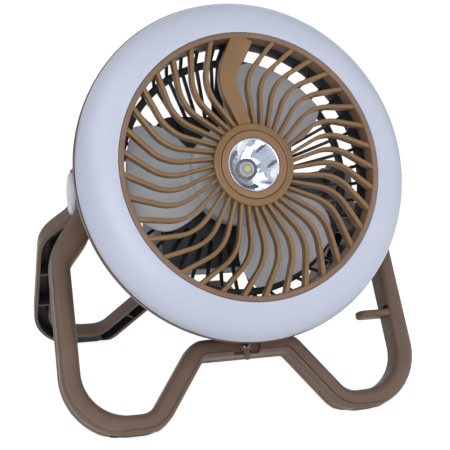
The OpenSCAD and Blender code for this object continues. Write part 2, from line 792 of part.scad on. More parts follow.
module pod_shell() color("#2b2d32") on_head() difference() {
    union() {
        difference() {
            translate([0, 0, cover_front]) linear_extrude(pod_front - cover_front) pod_outline(0);
            translate([0, 0, cover_front - over])
                linear_extrude(pod_front - cover_front + 2 * over) pod_outline(pod_wall);
        }
        both_sides() {
            along_pivot(pod_w / 2 - boss_in, pod_w / 2, arm_r);
            translate([pod_w / 2 - 1, 0, 0]) rotate([0, 90, 0])
                cylinder(h = 12, r1 = arm_root_r, r2 = arm_r);
            along_pivot(pod_w / 2, lug_span - run_gap, arm_r);
        }
    }
    both_sides() along_pivot(pod_w / 2 - boss_in - over, lug_span + over, bolt_r + bore_gap);
}

module pod_cover() color("#24262a") on_head() difference() {
    translate([0, 0, -pod_back]) linear_extrude(pod_wall) pod_outline(0);
    for (side = [-1, 1])
        translate([side * button_gap / 2, button_y, -pod_back - over])
            cylinder(h = pod_wall + 2 * over, r = button_r + run_gap);
    translate([0, indicator_y, -pod_back - over]) cylinder(h = pod_wall + 2 * over, r = indicator_r);
    translate([-socket_w / 2 - 0.2, socket_y - socket_h / 2 - 0.2, -pod_back - over])
        cube([socket_w + 0.4, socket_h + 0.4, pod_wall + 2 * over]);
}

// Cells lie across the pod, on its floor and against the plate that closes it
module battery_cells() color("#3f6fb0") on_head() for (i = [0 : cell_count - 1])
    translate([-cell_l / 2, pod_wall - pod_down + cell_r + cell_gap,
        pod_front - (cell_r + cell_gap) * (2 * i + 1)])
        rotate([0, 90, 0]) cylinder(h = cell_l, r = cell_r);

module control_board() color("#2d6a45") on_head() {
    translate([-30, -12, board_z]) cube([60, 44, board_t]);
    for (x = [-1, 1]) for (y = [-8, 28])
        translate([x * 26, y, cover_front]) cylinder(h = board_z - cover_front, r = 2.5);
}

// Push button: a cap in the cover's hole, a flange behind the cover and a stem to the board
module push_button(side, tint) color(tint) on_head() translate([side * button_gap / 2, button_y, 0]) {
    proud = button_travel + 0.2;
    translate([0, 0, -pod_back - proud]) cylinder(h = pod_wall + proud + run_gap, r = button_r);
    translate([0, 0, cover_front + run_gap]) cylinder(h = flange_t, r = button_r + 1.2);
    translate([0, 0, cover_front + flange_t + run_gap]) cylinder(h = stem_l, r = 2);
}

module charge_indicator() color("#9fd8b0") on_head() translate([0, indicator_y, -pod_back]) {
    cylinder(h = pod_wall, r = indicator_r);
    translate([0, 0, pod_wall]) cylinder(h = board_z - cover_front, r = indicator_r - 0.4);
}

module charging_socket() color("#8e9197") on_head() difference() {
    translate([-socket_w / 2, socket_y - socket_h / 2, 0.4 - pod_back]) cube([socket_w, socket_h, 7]);
    translate([0.5 - socket_w / 2, socket_y + 0.5 - socket_h / 2, -pod_back])
        cube([socket_w - 1, socket_h - 1, 6]);
}

front_frame();
rear_frame();
foot_pad(-1, 0);  // pad_front_left
foot_pad(1, 0);  // pad_front_right
foot_pad(-1, 1);  // pad_rear_left
foot_pad(1, 1);  // pad_rear_right
pivot_bolt(-1);  // bolt_left
pivot_bolt(1);  // bolt_right
pivot_cap(-1);  // cap_left
pivot_cap(1);  // cap_right
pivot_washer(-1);  // washer_left
pivot_washer(1);  // washer_right
latch_tab();
latch_screw();
head_housing();
diffuser_ring();
ring_board();
front_grille();
hub_bezel();
spot_cup();
spot_reflector();
spot_led();
spot_lens();
rear_grille();
motor_can();
motor_shaft();
fan_rotor();
pod_shell();
pod_cover();
battery_cells();
control_board();
push_button(-1, "#a8865e");  // button_fan
push_button(1, "#a8865e");  // button_light
charge_indicator();
charging_socket();
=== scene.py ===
# %% [markdown]
# # Portable camping fan
# The CAD model gives every piece its place and size. This notebook dresses it: the visible plastic
# is modelled again with rounded edges, and every surface gets a material made of nodes.

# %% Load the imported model
import json
import math

import bpy
from mathutils import Matrix, Vector


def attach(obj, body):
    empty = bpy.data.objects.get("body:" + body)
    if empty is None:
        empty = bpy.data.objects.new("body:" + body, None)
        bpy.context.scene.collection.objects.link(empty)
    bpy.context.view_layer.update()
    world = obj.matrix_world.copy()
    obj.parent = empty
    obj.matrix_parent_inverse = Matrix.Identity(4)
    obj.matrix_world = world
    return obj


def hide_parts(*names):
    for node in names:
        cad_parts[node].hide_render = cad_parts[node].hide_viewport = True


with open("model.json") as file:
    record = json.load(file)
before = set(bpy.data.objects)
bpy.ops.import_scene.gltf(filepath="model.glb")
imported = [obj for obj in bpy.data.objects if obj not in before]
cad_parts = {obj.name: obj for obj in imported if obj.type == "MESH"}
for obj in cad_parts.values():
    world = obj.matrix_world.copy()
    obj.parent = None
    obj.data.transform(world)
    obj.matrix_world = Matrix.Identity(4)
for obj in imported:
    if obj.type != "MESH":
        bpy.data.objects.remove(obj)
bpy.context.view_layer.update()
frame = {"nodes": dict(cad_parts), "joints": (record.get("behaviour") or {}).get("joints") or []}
MM = 0.001
joints = {j["name"]: j for j in frame["joints"]}
PIVOT_Z = joints["head_tilt"]["pos_m"][2]
fan_axis = Vector(joints["fan_spin"]["axis"])
lean_axis = Vector(joints["latch_turn"]["axis"])
TILT = math.atan2(fan_axis.z, -fan_axis.y)
LEAN = math.atan2(lean_axis.z, -lean_axis.y)
print("pivot height", PIVOT_Z, "tilt", math.degrees(TILT), "lean", math.degrees(LEAN))

# %% [markdown]
# ## Camera
# The view is from the front, a little to the left and above. A long lens keeps the ring round.
# The camera comes first, so that everything after it can be judged through it.

# %% Camera
IMAGE_PX, FOCAL_PX = 450, 859.61
camera_data = bpy.data.cameras.new("camera")
camera = bpy.data.objects.new("camera", camera_data)
bpy.context.scene.collection.objects.link(camera)
bpy.context.scene.camera = camera
camera_data.sensor_width = 36.0
camera_data.lens = FOCAL_PX / IMAGE_PX * camera_data.sensor_width
camera_data.clip_start = 0.05
camera_data.clip_end = 20.0
right = Vector((0.95033, -0.31061, 0.01972))
up = Vector((0.04173, 0.18995, 0.98091))
back = Vector((-0.30843, -0.93136, 0.19348))
camera_place = Vector((-186.75, -592.01, 96.33)) * MM + Vector((0, 0, PIVOT_Z))
camera.matrix_world = Matrix.Translation(camera_place) @ Matrix((right, up, back)).transposed().to_4x4()
print("camera at", [round(v, 3) for v in camera_place])

# %% [markdown]
# ## Modelling helpers
# Most pieces are turned on a lathe or cut from a plate, as their moulds are. They could start from
# cylinders and cubes, but a drawn profile shows where each wall lies. A line is drawn by extruding
# one vertex, and is then spun round an axis or filled and thickened. Corners are softened before
# that, so that each edge catches the light.

# %% Select one object only
def only(piece=None):
    """Leaves piece selected and active, and nothing else."""
    if bpy.context.object and bpy.context.object.mode == "EDIT":
        bpy.ops.object.mode_set(mode="OBJECT")
    bpy.ops.object.select_all(action="DESELECT")
    if piece:
        piece.select_set(True)
        bpy.context.view_layer.objects.active = piece


def edit(piece):
    """Opens the mesh of piece with all of it selected."""
    only(piece)
    bpy.ops.object.mode_set(mode="EDIT")
    bpy.ops.mesh.select_all(action="SELECT")


# %% Weld, turn faces, pull and modify
def weld():
    """Merges what coincides in the open mesh."""
    bpy.ops.mesh.select_all(action="SELECT")
    bpy.ops.mesh.remove_doubles(threshold=1e-6)


def face_outwards():
    """Turns all faces of the open mesh outwards."""
    bpy.ops.mesh.select_all(action="SELECT")
    bpy.ops.mesh.normals_make_consistent(inside=False)


def pull(step):
    """Extrudes the selected edges of the open mesh by millimetres."""
    bpy.ops.mesh.extrude_edges_move(TRANSFORM_OT_translate={"value": step.to_3d() * MM})


def modify(piece, kind, **settings):
    """Applies one modifier with these settings to piece."""
    only(piece)
    change = piece.modifiers.new("change", kind)
    for name, value in settings.items():
        setattr(change, name, value)
    bpy.ops.object.modifier_apply(modifier=change.name)
    return piece


# %% Draw a line of vertices
def draw_line(name, points):
    """A new object whose open mesh holds one closed line through points, in millimetres."""
    only()
    bpy.ops.mesh.primitive_plane_add(size=MM)
    piece = bpy.context.object
    piece.name = piece.data.name = name
    bpy.ops.object.mode_set(mode="EDIT")
    bpy.ops.mesh.select_mode(type="VERT")
    bpy.ops.mesh.select_all(action="SELECT")
    bpy.ops.mesh.merge(type="CENTER")
    here = points[0]
    bpy.ops.transform.translate(value=here * MM)
    for p in [*points[1:], here]:
        bpy.ops.mesh.extrude_vertices_move(TRANSFORM_OT_translate={"value": (p - here) * MM})
        here = p
    weld()
    return piece


# %% Soften the corners of a line
def soften(points, radius, steps=3, keep=()):
    """Replaces each corner of a closed line by a small arc. Corners whose index is in keep stay."""
    points = [Vector(p) for p in points]
    if not radius:
        return points
    out = []
    for i, p in enumerate(points):
        to_before, to_after = points[i - 1] - p, points[(i + 1) % len(points)] - p
        if i in keep or to_before.angle(to_after, math.pi) > math.radians(165):
            out.append(p)
            continue
        run = min(radius, to_before.length * 0.45, to_after.length * 0.45)
        start, end = p + to_before.normalized() * run, p + to_after.normalized() * run
        for k in range(steps + 1):
            t = k / steps
            out.append(start * (1 - t) ** 2 + p * 2 * t * (1 - t) + end * t**2)
    return out


# %% Arc
def heading(degrees):
    """The direction at an angle from X."""
    return Vector((math.cos(math.radians(degrees)), math.sin(math.radians(degrees))))


def arc(cx, cy, radius, first, last, steps=6):
    """Points of an arc, with its angles in degrees."""
    turn = (last - first) / steps
    return [Vector((cx, cy)) + heading(first + turn * k) * radius for k in range(steps + 1)]


# %% Turn a profile on a lathe
def smooth(piece, angle=35):
    """Shades piece smooth, apart from edges sharper than angle."""
    only(piece)
    bpy.ops.object.shade_smooth_by_angle(angle=math.radians(angle))


def lathe(name, profile, steps=144, soft=0.4, keep=(), angle=35):
    """Spins a closed profile of (radius, height) round the Z axis."""
    piece = draw_line(name, soften([(r, 0, h) for r, h in profile], soft, keep=keep))
    bpy.ops.mesh.spin(steps=steps, angle=math.tau, center=(0, 0, 0), axis=(0, 0, 1))
    weld()
    face_outwards()
    smooth(piece, angle)
    return piece


def ring(name, inside, outside, low, high, steps=144, soft=0.4, keep=()):
    """A plain ring between two radii and two heights."""
    profile = [(inside, low), (outside, low), (outside, high), (inside, high)]
    return lathe(name, profile, steps, soft, keep)


def disc(name, radius, low, high, steps=40, soft=0.0):
    """A solid disc: a ring whose inner corners lie on the axis and stay sharp."""
    return ring(name, 0, radius, low, high, steps, soft, keep=(0, 3))


# %% Cut a plate from an outline
def bevel(piece, width, segments=2, limit=30):
    """Rounds the edges that turn by more than limit degrees."""
    limit = math.radians(limit)
    modify(piece, "BEVEL", width=width * MM, segments=segments, limit_method="ANGLE", angle_limit=limit)


def rectangle(left, low, right, high):
    """Corners of a rectangle."""
    return [Vector(p) for p in ((left, low), (right, low), (right, high), (left, high))]


def plate(name, outline, low, high, edge=0.4, segments=2):
    """Fills an outline of (x, y), raises it from low to high and rounds its edges."""
    piece = draw_line(name, [Vector((p[0], p[1], low)) for p in outline])
    bpy.ops.mesh.edge_face_add()
    bpy.ops.mesh.extrude_region_move(TRANSFORM_OT_translate={"value": (0, 0, (high - low) * MM)})
    face_outwards()
    if edge:
        bevel(piece, edge, segments)
    smooth(piece)
    return piece


# %% Put a piece in place
def settle(piece, matrix):
    """Moves the mesh by matrix and leaves the object at the origin, unturned and unscaled."""
    only(piece)
    piece.matrix_world = matrix @ piece.matrix_world
    bpy.ops.object.transform_apply(location=True, rotation=True, scale=True)
    return piece


PIVOT = Matrix.Translation((0, 0, PIVOT_Z))
HEAD = PIVOT @ Matrix.Rotation(math.pi / 2 - TILT, 4, "X")
LEANING = Matrix.Rotation(math.pi / 2 - LEAN, 4, "X")
FRONT = PIVOT @ LEANING
REAR = PIVOT @ Matrix.Rotation(math.pi, 4, "Z") @ LEANING


def spin_z(degrees):
    """Turns round the Z axis."""
    return Matrix.Rotation(math.radians(degrees), 4, "Z")


def shift(x, y, z):
    """Moves by millimetres."""
    return Matrix.Translation(Vector((x, y, z)) * MM)


# %% Copy, join and cut
def copies(piece, angles):
    """Copies of piece, each turned by an angle. The piece itself goes."""
    twins = []
    for angle in angles:
        twin = piece.copy()
        twin.data = piece.data.copy()
        bpy.context.scene.collection.objects.link(twin)
        twins.append(settle(twin, spin_z(angle)))
    bpy.data.objects.remove(piece)
    return twins


def joined(name, pieces):
    """Joins pieces into one object called name."""
    only(pieces[0])
    for other in pieces[1:]:
        other.select_set(True)
    if len(pieces) > 1:
        bpy.ops.object.join()
    whole = bpy.context.object
    whole.name = whole.data.name = name
    return whole


def cut_away(piece, tool):
    """Cuts the tool's shape out of piece and deletes the tool. The cut takes the tool's material."""
    mode = "TRANSFER" if tool.data.materials else "INDEX"
    modify(piece, "BOOLEAN", operation="DIFFERENCE", solver="EXACT", material_mode=mode, object=tool)
    bpy.data.objects.remove(tool)
    return piece


# %% Paint a piece and name what it stands for
looks = {}


def paint(piece, look):
    """Gives piece one of the looks."""
    piece.data.materials.clear()
    piece.data.materials.append(looks[look])


def dress(piece, look, body, slot, *nodes):
    """Gives a piece its look (None keeps its parts' looks) and body, and hides the nodes it stands for. The
    slot is not used.
    """
    if look:
        paint(piece, look)
    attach(piece, body)
    if nodes:
        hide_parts(*nodes)
    print(piece.name, len(piece.data.polygons), "faces on", body)


def on_head(piece, look, slot, *nodes):
    """Settles a piece drawn along the fan's axis on the head, and dresses it."""
    dress(settle(piece, HEAD), look, "head", slot, *nodes)


# %% [markdown]
# ## Materials
# Moulded plastic has a fine pebbled skin from the mould, slow shifts of tone where the melt flowed,
# and gloss that changes from place to place. One colour with a bump would look like paint, so one
# helper builds the skin from three noises, and each finish sets its own colours, gloss and grain.

# %% Colour from a hex code
def colour(code):
    """Linear colour of a hex code such as #8f6f4e."""
    parts = [int(code[i : i + 2], 16) / 255 for i in (1, 3, 5)]
    linear = [c / 12.92 if c <= 0.04045 else ((c + 0.055) / 1.055) ** 2.4 for c in parts]
    return (*linear, 1.0)


# %% Node helpers
def new_material(name):
    """A new look: its tree, its shader and the coordinates of the piece that wears it."""
    looks[name] = bpy.data.materials.new(name)
    looks[name].use_nodes = True
    tree = looks[name].node_tree
    return tree, tree.nodes["Principled BSDF"], tree.nodes.new("ShaderNodeTexCoord").outputs["Object"]


def fill(node, values):
    """Sets inputs of a node by their names."""
    for name, value in values.items():
        node.inputs[name].default_value = value
    return node


def noise(tree, where, scale, detail=3.0, roughness=0.5):
    """A noise that lies mostly between 0.3 and 0.7."""
    node = tree.nodes.new("ShaderNodeTexNoise")
    fill(node, {"Scale": scale, "Detail": detail, "Roughness": roughness})
    tree.links.new(where, node.inputs["Vector"])
    return node.outputs["Fac"]


def ramp(tree, value, *stops):
    """Runs between two colours, each given with its place."""
    node = tree.nodes.new("ShaderNodeValToRGB")
    for element, (at, shade) in zip(node.color_ramp.elements, stops):
        element.position = at
        element.color = shade
    tree.links.new(value, node.inputs["Fac"])
    return node.outputs["Color"]


# %% What a noise does to a surface
def tint(tree, shader, value, dark, light, low=0.3, high=0.7):
    """Lets the base colour run from dark to light."""
    shades = ramp(tree, value, (low, colour(dark)), (high, colour(light)))
    tree.links.new(shades, shader.inputs["Base Color"])


def gloss(tree, shader, value, low, high):
    """Lets the roughness run from low to high."""
    node = tree.nodes.new("ShaderNodeMapRange")
    fill(node, {"From Min": 0.3, "From Max": 0.7, "To Min": low, "To Max": high})
    tree.links.new(value, node.inputs["Value"])
    tree.links.new(node.outputs["Result"], shader.inputs["Roughness"])


def bump(tree, shader, value, strength, distance):
    """Raises the surface with the noise."""
    node = fill(tree.nodes.new("ShaderNodeBump"), {"Strength": strength, "Distance": distance})
    tree.links.new(value, node.inputs["Height"])
    tree.links.new(node.outputs["Normal"], shader.inputs["Normal"])


# %% Moulded plastic and metal
def plastic(name, dark, light, low, high, grain, depth, flow=28):
    """Plastic with a slow shift of tone, a roughness from low to high and a pebbled skin."""
    tree, shader, where = new_material(name)
    fill(shader, {"IOR": 1.46})
    tint(tree, shader, noise(tree, where, flow, 4.0, 0.55), dark, light)
    gloss(tree, shader, noise(tree, where, flow * 5), low, high)
    bump(tree, shader, noise(tree, where, grain, 2.0, 0.6), 0.35, depth * 1e-5)


def metal(name, dark, light, grain, rough=(0.25, 0.4), pits=None, detail=3.0):
    """Metal whose tone, gloss and, where pits are given, surface shift with one grain."""
    tree, shader, where = new_material(name)
    fill(shader, {"Metallic": 1.0})
    turned = noise(tree, where, grain, detail)
    tint(tree, shader, turned, dark, light)
    gloss(tree, shader, turned, *rough)
    if pits:
        bump(tree, shader, turned, *pits)


# %% The fan's finishes
# Two tones, least and most rough, grain, depth of the grain in hundredths of a millimetre.
PLASTICS = {
    "frame_plastic": ("#624d41", "#6e584a", 0.42, 0.55, 3000, 8),
    "housing_plastic": ("#5d4838", "#6a5342", 0.38, 0.5, 3000, 6),
    "grille_plastic": ("#785a39", "#876742", 0.3, 0.42, 3200, 5),
    "rim_plastic": ("#765c49", "#856a56", 0.3, 0.42, 3200, 5),
    "bezel_plastic": ("#836245", "#92704f", 0.28, 0.38, 3200, 4),
    "dark_plastic": ("#18191c", "#232529", 0.42, 0.56, 3000, 8),
    "rotor_plastic": ("#c9ced6", "#d8dce3", 0.28, 0.38, 2400, 4),
    "cap_plastic": ("#c3c6d0", "#d4d7df", 0.25, 0.35, 2600, 4),
    "pad_rubber": ("#161617", "#222224", 0.7, 0.85, 2200, 12),
    "diffuser_plastic": ("#bec5d8", "#c7cdde", 0.32, 0.4, 2600, 3, 9),
    "button_plastic": ("#836245", "#92704f", 0.3, 0.42, 3200, 4),
    "cell_sleeve": ("#2f5f9e", "#3c70b3", 0.25, 0.35, 1500, 3),
    "board_green": ("#22553a", "#2c6b48", 0.3, 0.45, 1800, 6),
    "board_white": ("#e4e4de", "#f0f0ea", 0.4, 0.5, 1800, 4),
    "channel_dark": ("#1a1b1f", "#26272c", 0.5, 0.65, 2600, 8),
    "seat_paint": ("#2f323f", "#444857", 0.2, 0.3, 2400, 4, 120),
    "base_paint": ("#8f86a0", "#a89fb4", 0.3, 0.4, 2400, 4, 160),
    "lamp_green": ("#8fcca2", "#a6dcb6", 0.2, 0.3, 2000, 3),
}
for name, look in PLASTICS.items():
    plastic(name, *look)
metal("steel", "#9da0a6", "#b7babf", 900, pits=(0.2, 0.00003))
metal("black_nickel", "#5d5650", "#746c64", 1200)
metal("chrome", "#d5d8df", "#dfe2e9", 260, (0.02, 0.07), (0.25, 0.0002), detail=2.0)
print("looks:", *looks)

# %% [markdown]
# ## Light ring
# The diffuser is one frosted shell: flat near the grille, falling away to the edge in a quarter
# of an ellipse. It sits in the brown housing, whose lip shows as a thin line round it. A torus
# pressed flat would come close, but would lose that lip and the wall, so both are turned on the
# lathe from their profiles.

# %% Diffuser
RING_FRONT = 90.0
RING_EDGE = 75.0
RING_BORE = 86.8
RING_W = 24.3
RING_WALL = 2.0
RING_IN = RING_BORE + RING_WALL
SEAM = 73.0
RING_BACK = 63.0


def crown(width, rise, steps=22):
    """Points of the crown from the grille out to the ring's edge."""
    ways = [math.pi / 2 * i / steps for i in range(steps + 1)]
    return [(RING_BORE + width * math.sin(way), RING_EDGE + rise * math.cos(way)) for way in ways]


outer = crown(RING_W, RING_FRONT - RING_EDGE)
inner = crown(RING_W - RING_WALL, RING_FRONT - RING_EDGE - RING_WALL)[::-1]
profile = outer + inner[:-1] + [(RING_IN, RING_FRONT - RING_WALL), (RING_IN, SEAM), (RING_BORE, SEAM)]
diffuser = lathe("light_ring_diffuser", profile, steps=192, soft=0.5, angle=40)
on_head(diffuser, "diffuser_plastic", "diffuser", "diffuser_ring")

# %% Housing behind the ring
rim = RING_BORE + RING_W
profile = [
    (RING_BORE, SEAM), (RING_BORE, RING_BACK), (rim - 5, RING_BACK), (rim - 1.2, RING_BACK + 3),
    (rim + 0.6, RING_BACK + 7), (rim + 0.6, RING_EDGE), (rim + 0.05, RING_EDGE + 0.01),
    (rim + 0.05, RING_EDGE - 0.6), (rim - 2.6, RING_EDGE - 0.6), (rim - 2.6, RING_BACK + 7),
    (rim - 4.6, RING_BACK + 2.4), (RING_IN, RING_BACK + 2.4), (RING_IN, SEAM),
]
housing = lathe("ring_housing", profile, steps=192, soft=0.5)
on_head(housing, "housing_plastic", "housing", "head_housing")

# %% [markdown]
# ## Front grille
# Thirty-seven places run round the rim. One rib is drawn as an outline: a straight lead out of the
# hub, a bend at the knee and a straight sweep to the rim, growing wider on its way. It is raised
# and rounded, and copied round the hub. An array modifier would repeat it as well, but copies
# leave two places free for the wide rib that hides the cable. The rim is a shade less yellow.

# %% A rib's outline
HUB_R = 26.8
OPEN_R = 83.2
RIB_FRONT = 89.0
RIB_D = 6.5
PLACES = 37
KNEE_R, LEAD, SWEEP, BEND_R = 57.8, 6.0, 41.5, 27.0
RIB_W, BAND_W = (2.2, 3.0), (8.5, 14.5)
FIRST_RIB = 2.4
BAND_PLACE = 10.5
rib_start, rib_end = HUB_R - 0.8, OPEN_R + 1.2


def reach(direction, radius):
    """Distance from the knee along direction to the circle of the given radius."""
    b = KNEE_R * direction.x
    return -b + math.sqrt(b * b - KNEE_R**2 + radius**2)


def rib_outline(w_hub, w_rim, bend_steps=14):
    """Both sides of a rib whose width grows from the hub to the rim."""
    knee = Vector((KNEE_R, 0))
    lead_dir, sweep_dir = heading(LEAD), heading(-SWEEP)
    back_off = BEND_R * math.tan(math.radians((LEAD + SWEEP) / 2))
    bend_in = knee - lead_dir * back_off
    middle = bend_in - lead_dir.orthogonal() * BEND_R
    start = knee + lead_dir * reach(lead_dir, rib_start)
    end = knee + sweep_dir * reach(sweep_dir, rib_end)
    line = [(start.lerp(bend_in, k / 3), LEAD) for k in range(3)]
    for i in range(bend_steps + 1):
        way = LEAD - (LEAD + SWEEP) * i / bend_steps
        line.append((middle + heading(way).orthogonal() * BEND_R, way))
    last = line[-1][0]
    line += [(last.lerp(end, k / 3), -SWEEP) for k in (1, 2, 3)]
    left, right_side = [], []
    for p, way in line:
        half = (w_hub + (w_rim - w_hub) * (p.length - rib_start) / (rib_end - rib_start)) / 2
        side = heading(way).orthogonal() * half
        left.append(p + side)
        right_side.append(p - side)
    return left + right_side[::-1]


# %% Ribs
rib = plate("rib", rib_outline(*RIB_W), RIB_FRONT - RIB_D, RIB_FRONT, edge=0.75, segments=3)
places = [i for i in range(PLACES) if abs(i - BAND_PLACE) > 0.9]
ribs = copies(rib, [FIRST_RIB + i * 360 / PLACES for i in places])
band = plate("band", rib_outline(*BAND_W), RIB_FRONT - RIB_D, RIB_FRONT + 0.4, edge=0.7, segments=3)
settle(band, spin_z(FIRST_RIB + BAND_PLACE * 360 / PLACES))
print(len(ribs), "ribs and one cable rib")

# %% Rim and hub ring
RIM_R = 86.6
RIM_BACK = 80.0
profile = [(OPEN_R - 0.6, RIM_BACK), (RIM_R, RIM_BACK), (RIM_R, RING_FRONT), (OPEN_R, RING_FRONT)]
grille_rim = lathe("grille_rim", profile, steps=192, soft=0.8)
HUB_FRONT = 90.7
BEZEL_R = 21.8
hub_ring = ring("hub_ring", BEZEL_R + 0.2, HUB_R, HUB_FRONT - 8, HUB_FRONT, steps=128, soft=1.3)
paint(grille_rim, "rim_plastic")
for piece in [hub_ring, band] + ribs:
    paint(piece, "grille_plastic")
grille = joined("front_grille_moulding", [grille_rim, hub_ring, band] + ribs)
on_head(grille, None, "grille", "front_grille")

# %% [markdown]
# ## Spot lamp
# A bezel holds a clear lens over a polished bowl. The light source is a round yellow die on a
# raised base at the bottom of the bowl, with a dark seat round it, and the bowl mirrors the room.
# A plain cone would mirror it too, but the bowl is a real paraboloid, so its reflections bend as
# they do in a torch.

# %% Bezel
LAMP_R = 17.0
LENS_FRONT = HUB_FRONT - 1.4
LENS_T = 1.2
LENS_BACK = LENS_FRONT - LENS_T
CUP_R = BEZEL_R - 2.6
profile = [
    (LAMP_R + 0.1, LENS_BACK), (CUP_R, LENS_BACK), (CUP_R, HUB_FRONT - 4), (BEZEL_R, HUB_FRONT - 4),
    (BEZEL_R, HUB_FRONT - 0.1), (LAMP_R + 1.3, HUB_FRONT - 0.1), (LAMP_R + 0.1, LENS_FRONT + 0.2),
]
bezel = lathe("lamp_bezel", profile, steps=128, soft=0.5)
on_head(bezel, "bezel_plastic", "bezel", "hub_bezel")

# %% Reflector
CUP_BACK = HUB_FRONT - 19
SEAT_R = 7.3
BOWL_WALL, BOWL_STEPS = 0.8, 24
bowl_back, bowl_front = CUP_BACK + 4, LENS_BACK - 0.2
bowl = []
for k in range(BOWL_STEPS + 1):
    radius = math.sqrt(SEAT_R**2 + k / BOWL_STEPS * (LAMP_R**2 - SEAT_R**2))
    bowl.append((radius - BOWL_WALL, bowl_back + (bowl_front - bowl_back) * k / BOWL_STEPS))
profile = bowl + [(r + BOWL_WALL, h) for r, h in bowl[::-1]]
reflector = lathe("lamp_reflector", profile, steps=128, soft=0.0, angle=50)
on_head(reflector, "chrome", "chrome", "spot_reflector")

# %% Light source
CARRIER_R, BASE_R, DIE_R = 12.9, 4.3, 1.9
z = CUP_BACK
profile = [
    (0.0, z + 2), (CARRIER_R, z + 2), (CARRIER_R, z + 3.6), (BASE_R, z + 3.6),
    (BASE_R, z + 4.7), (BASE_R - 0.35, z + 4.7), (BASE_R - 0.4, z + 4.3), (0.0, z + 4.3),
]
carrier = lathe("lamp_carrier", profile, steps=64, soft=0.12, keep=(0, 7))
on_head(carrier, "board_white", "led", "spot_led")
seat_ring = ring("lamp_seat", BASE_R + 0.2, SEAT_R - 0.1, z + 3.65, z + 3.9, steps=64, soft=0.08)
on_head(seat_ring, "seat_paint", "led")
base = disc("lamp_base", BASE_R - 0.5, z + 4.35, z + 4.5, steps=64, soft=0.05)
on_head(base, "base_paint", "led")

# %% Yellow die
profile = [(0.0, z + 4.4), (DIE_R, z + 4.4), (DIE_R - 0.1, z + 5.0), (0.0, z + 5.3)]
chip = lathe("lamp_chip", profile, steps=48, soft=0.2, keep=(0, 3))
tree, shader, where = new_material("phosphor")
fill(shader, {"Roughness": 0.35})
tint(tree, shader, noise(tree, where, 4200, 2.0), "#c3c51c", "#dedf48", 0.35, 0.65)
on_head(chip, "phosphor", "led")

# %% Clear lens
lens = disc("lamp_lens", LAMP_R, LENS_BACK, LENS_FRONT, steps=128, soft=0.25)
tree, shader, where = new_material("clear_lens")
fill(shader, {"Transmission Weight": 1.0, "IOR": 1.49})
smear = noise(tree, where, 90)
tint(tree, shader, smear, "#fafcff", "#fdfeff")
gloss(tree, shader, smear, 0.0, 0.03)
on_head(lens, "clear_lens", "lens", "spot_lens")

# %% [markdown]
# ## Rotor
# Three broad blades grow out of a cap. Each blade is a fine grid whose points follow the blade's
# twist: the edge that leads stands near the grille and the edge that trails lies deep in the duct.
# The sheet then gets its thickness and a rounded edge. A loft between sections would do as well,
# but the grid lets one formula hold the sweep, the twist and the pitch.

# %% Blade surface
CAP_R, TIP_R = 34.0, 76.5
ROTOR_FRONT = CUP_BACK - 6.5
ROTOR_BACK = ROTOR_FRONT - 15.0
BLADE_SPAN, BLADE_T = 70.0, 1.9


def blade_point(f, g):
    """Point at f from root to tip and g from the trailing to the leading edge."""
    wave = math.sin(math.pi * f)
    start = 31 - 5 * wave + 4 * f**4
    end = 31 + BLADE_SPAN - 4 * f - 16 * f**5
    low = ROTOR_BACK + 1 + 6.5 * f
    high = ROTOR_FRONT - 2.5 - 0.5 * f
    radius = CAP_R - 1.2 + (TIP_R - CAP_R + 1.2) * f
    angle = math.radians(start + (end - start) * g)
    height = low + (high - low) * (g + 0.12 * math.sin(math.tau * g))
    return Vector((radius * math.cos(angle), radius * math.sin(angle), height)) * MM


only()
bpy.ops.mesh.primitive_grid_add(x_subdivisions=30, y_subdivisions=36, size=1.0, location=(0.5, 0.5, 0))
bpy.ops.object.transform_apply(location=True)
blade = bpy.context.object
for vertex in blade.data.vertices:
    vertex.co = blade_point(min(vertex.co.x, 1.0), min(vertex.co.y, 1.0))
edit(blade)
face_outwards()
modify(blade, "SOLIDIFY", thickness=BLADE_T * MM, offset=0.0)
bevel(blade, 0.6, 3, 50)
smooth(blade, 40)
blades = copies(blade, (0, 120, 240))

# %% Rotor cap
z = ROTOR_FRONT
profile = [
    (2.0, z - 8.5), (5.0, z - 8.5), (5.0, z - 2.5), (CAP_R - 2.5, z - 4), (CAP_R - 2.5, ROTOR_BACK),
    (CAP_R, ROTOR_BACK), (CAP_R, z - 3), (CAP_R - 3, z - 0.8), (CAP_R / 2, z), (2.0, z),
]
cap = lathe("rotor_cap", profile, steps=128, soft=1.2)
rotor = joined("rotor_moulding", [cap] + blades)
dress(settle(rotor, HEAD), "rotor_plastic", "rotor", "rotor", "fan_rotor")

# %% [markdown]
# ## Rear grille
# The duct wall narrows into a cone of bars that carry a ring, and the bars run on to the plate
# behind the motor. A bar could be bent from a rod, but its side outline holds the steps where it
# meets the ring, so one bar is cut from that outline and copied round. The cable runs down the
# wide spoke at the top.

# %% Bars
DUCT_R = 85.0
CAGE_R, CAGE_W = 81.0, 5.0
CAGE_FRONT = RING_BACK - 11
POD_FRONT, PLATE_FRONT = 31.0, 33.5
BARS = 45
turn_r = CAGE_R - CAGE_W + 1
bar_side = [
    (DUCT_R + 1, RING_BACK + 1), (DUCT_R + 1, RING_BACK - 1.5), (CAGE_R - 0.4, CAGE_FRONT - 2.6),
    (turn_r, CAGE_FRONT - 2.6), (44.0, POD_FRONT + 0.4), (44.0, PLATE_FRONT + 0.8),
    (turn_r, CAGE_FRONT + 0.4), (CAGE_R - 1, CAGE_FRONT + 0.4), (DUCT_R - 0.3, RING_BACK + 0.4),
]
STAND = Matrix.Rotation(math.pi / 2, 4, "X")


def bar(width, edge):
    """One bar, upright on the X axis."""
    return settle(plate("bar", soften(bar_side, 0.8, 2), -width / 2, width / 2, edge), STAND)


bars = copies(bar(2.2, 0.5), [90 + k * 360 / BARS for k in range(1, BARS)])
spoke = settle(bar(14.0, 0.8), spin_z(90))

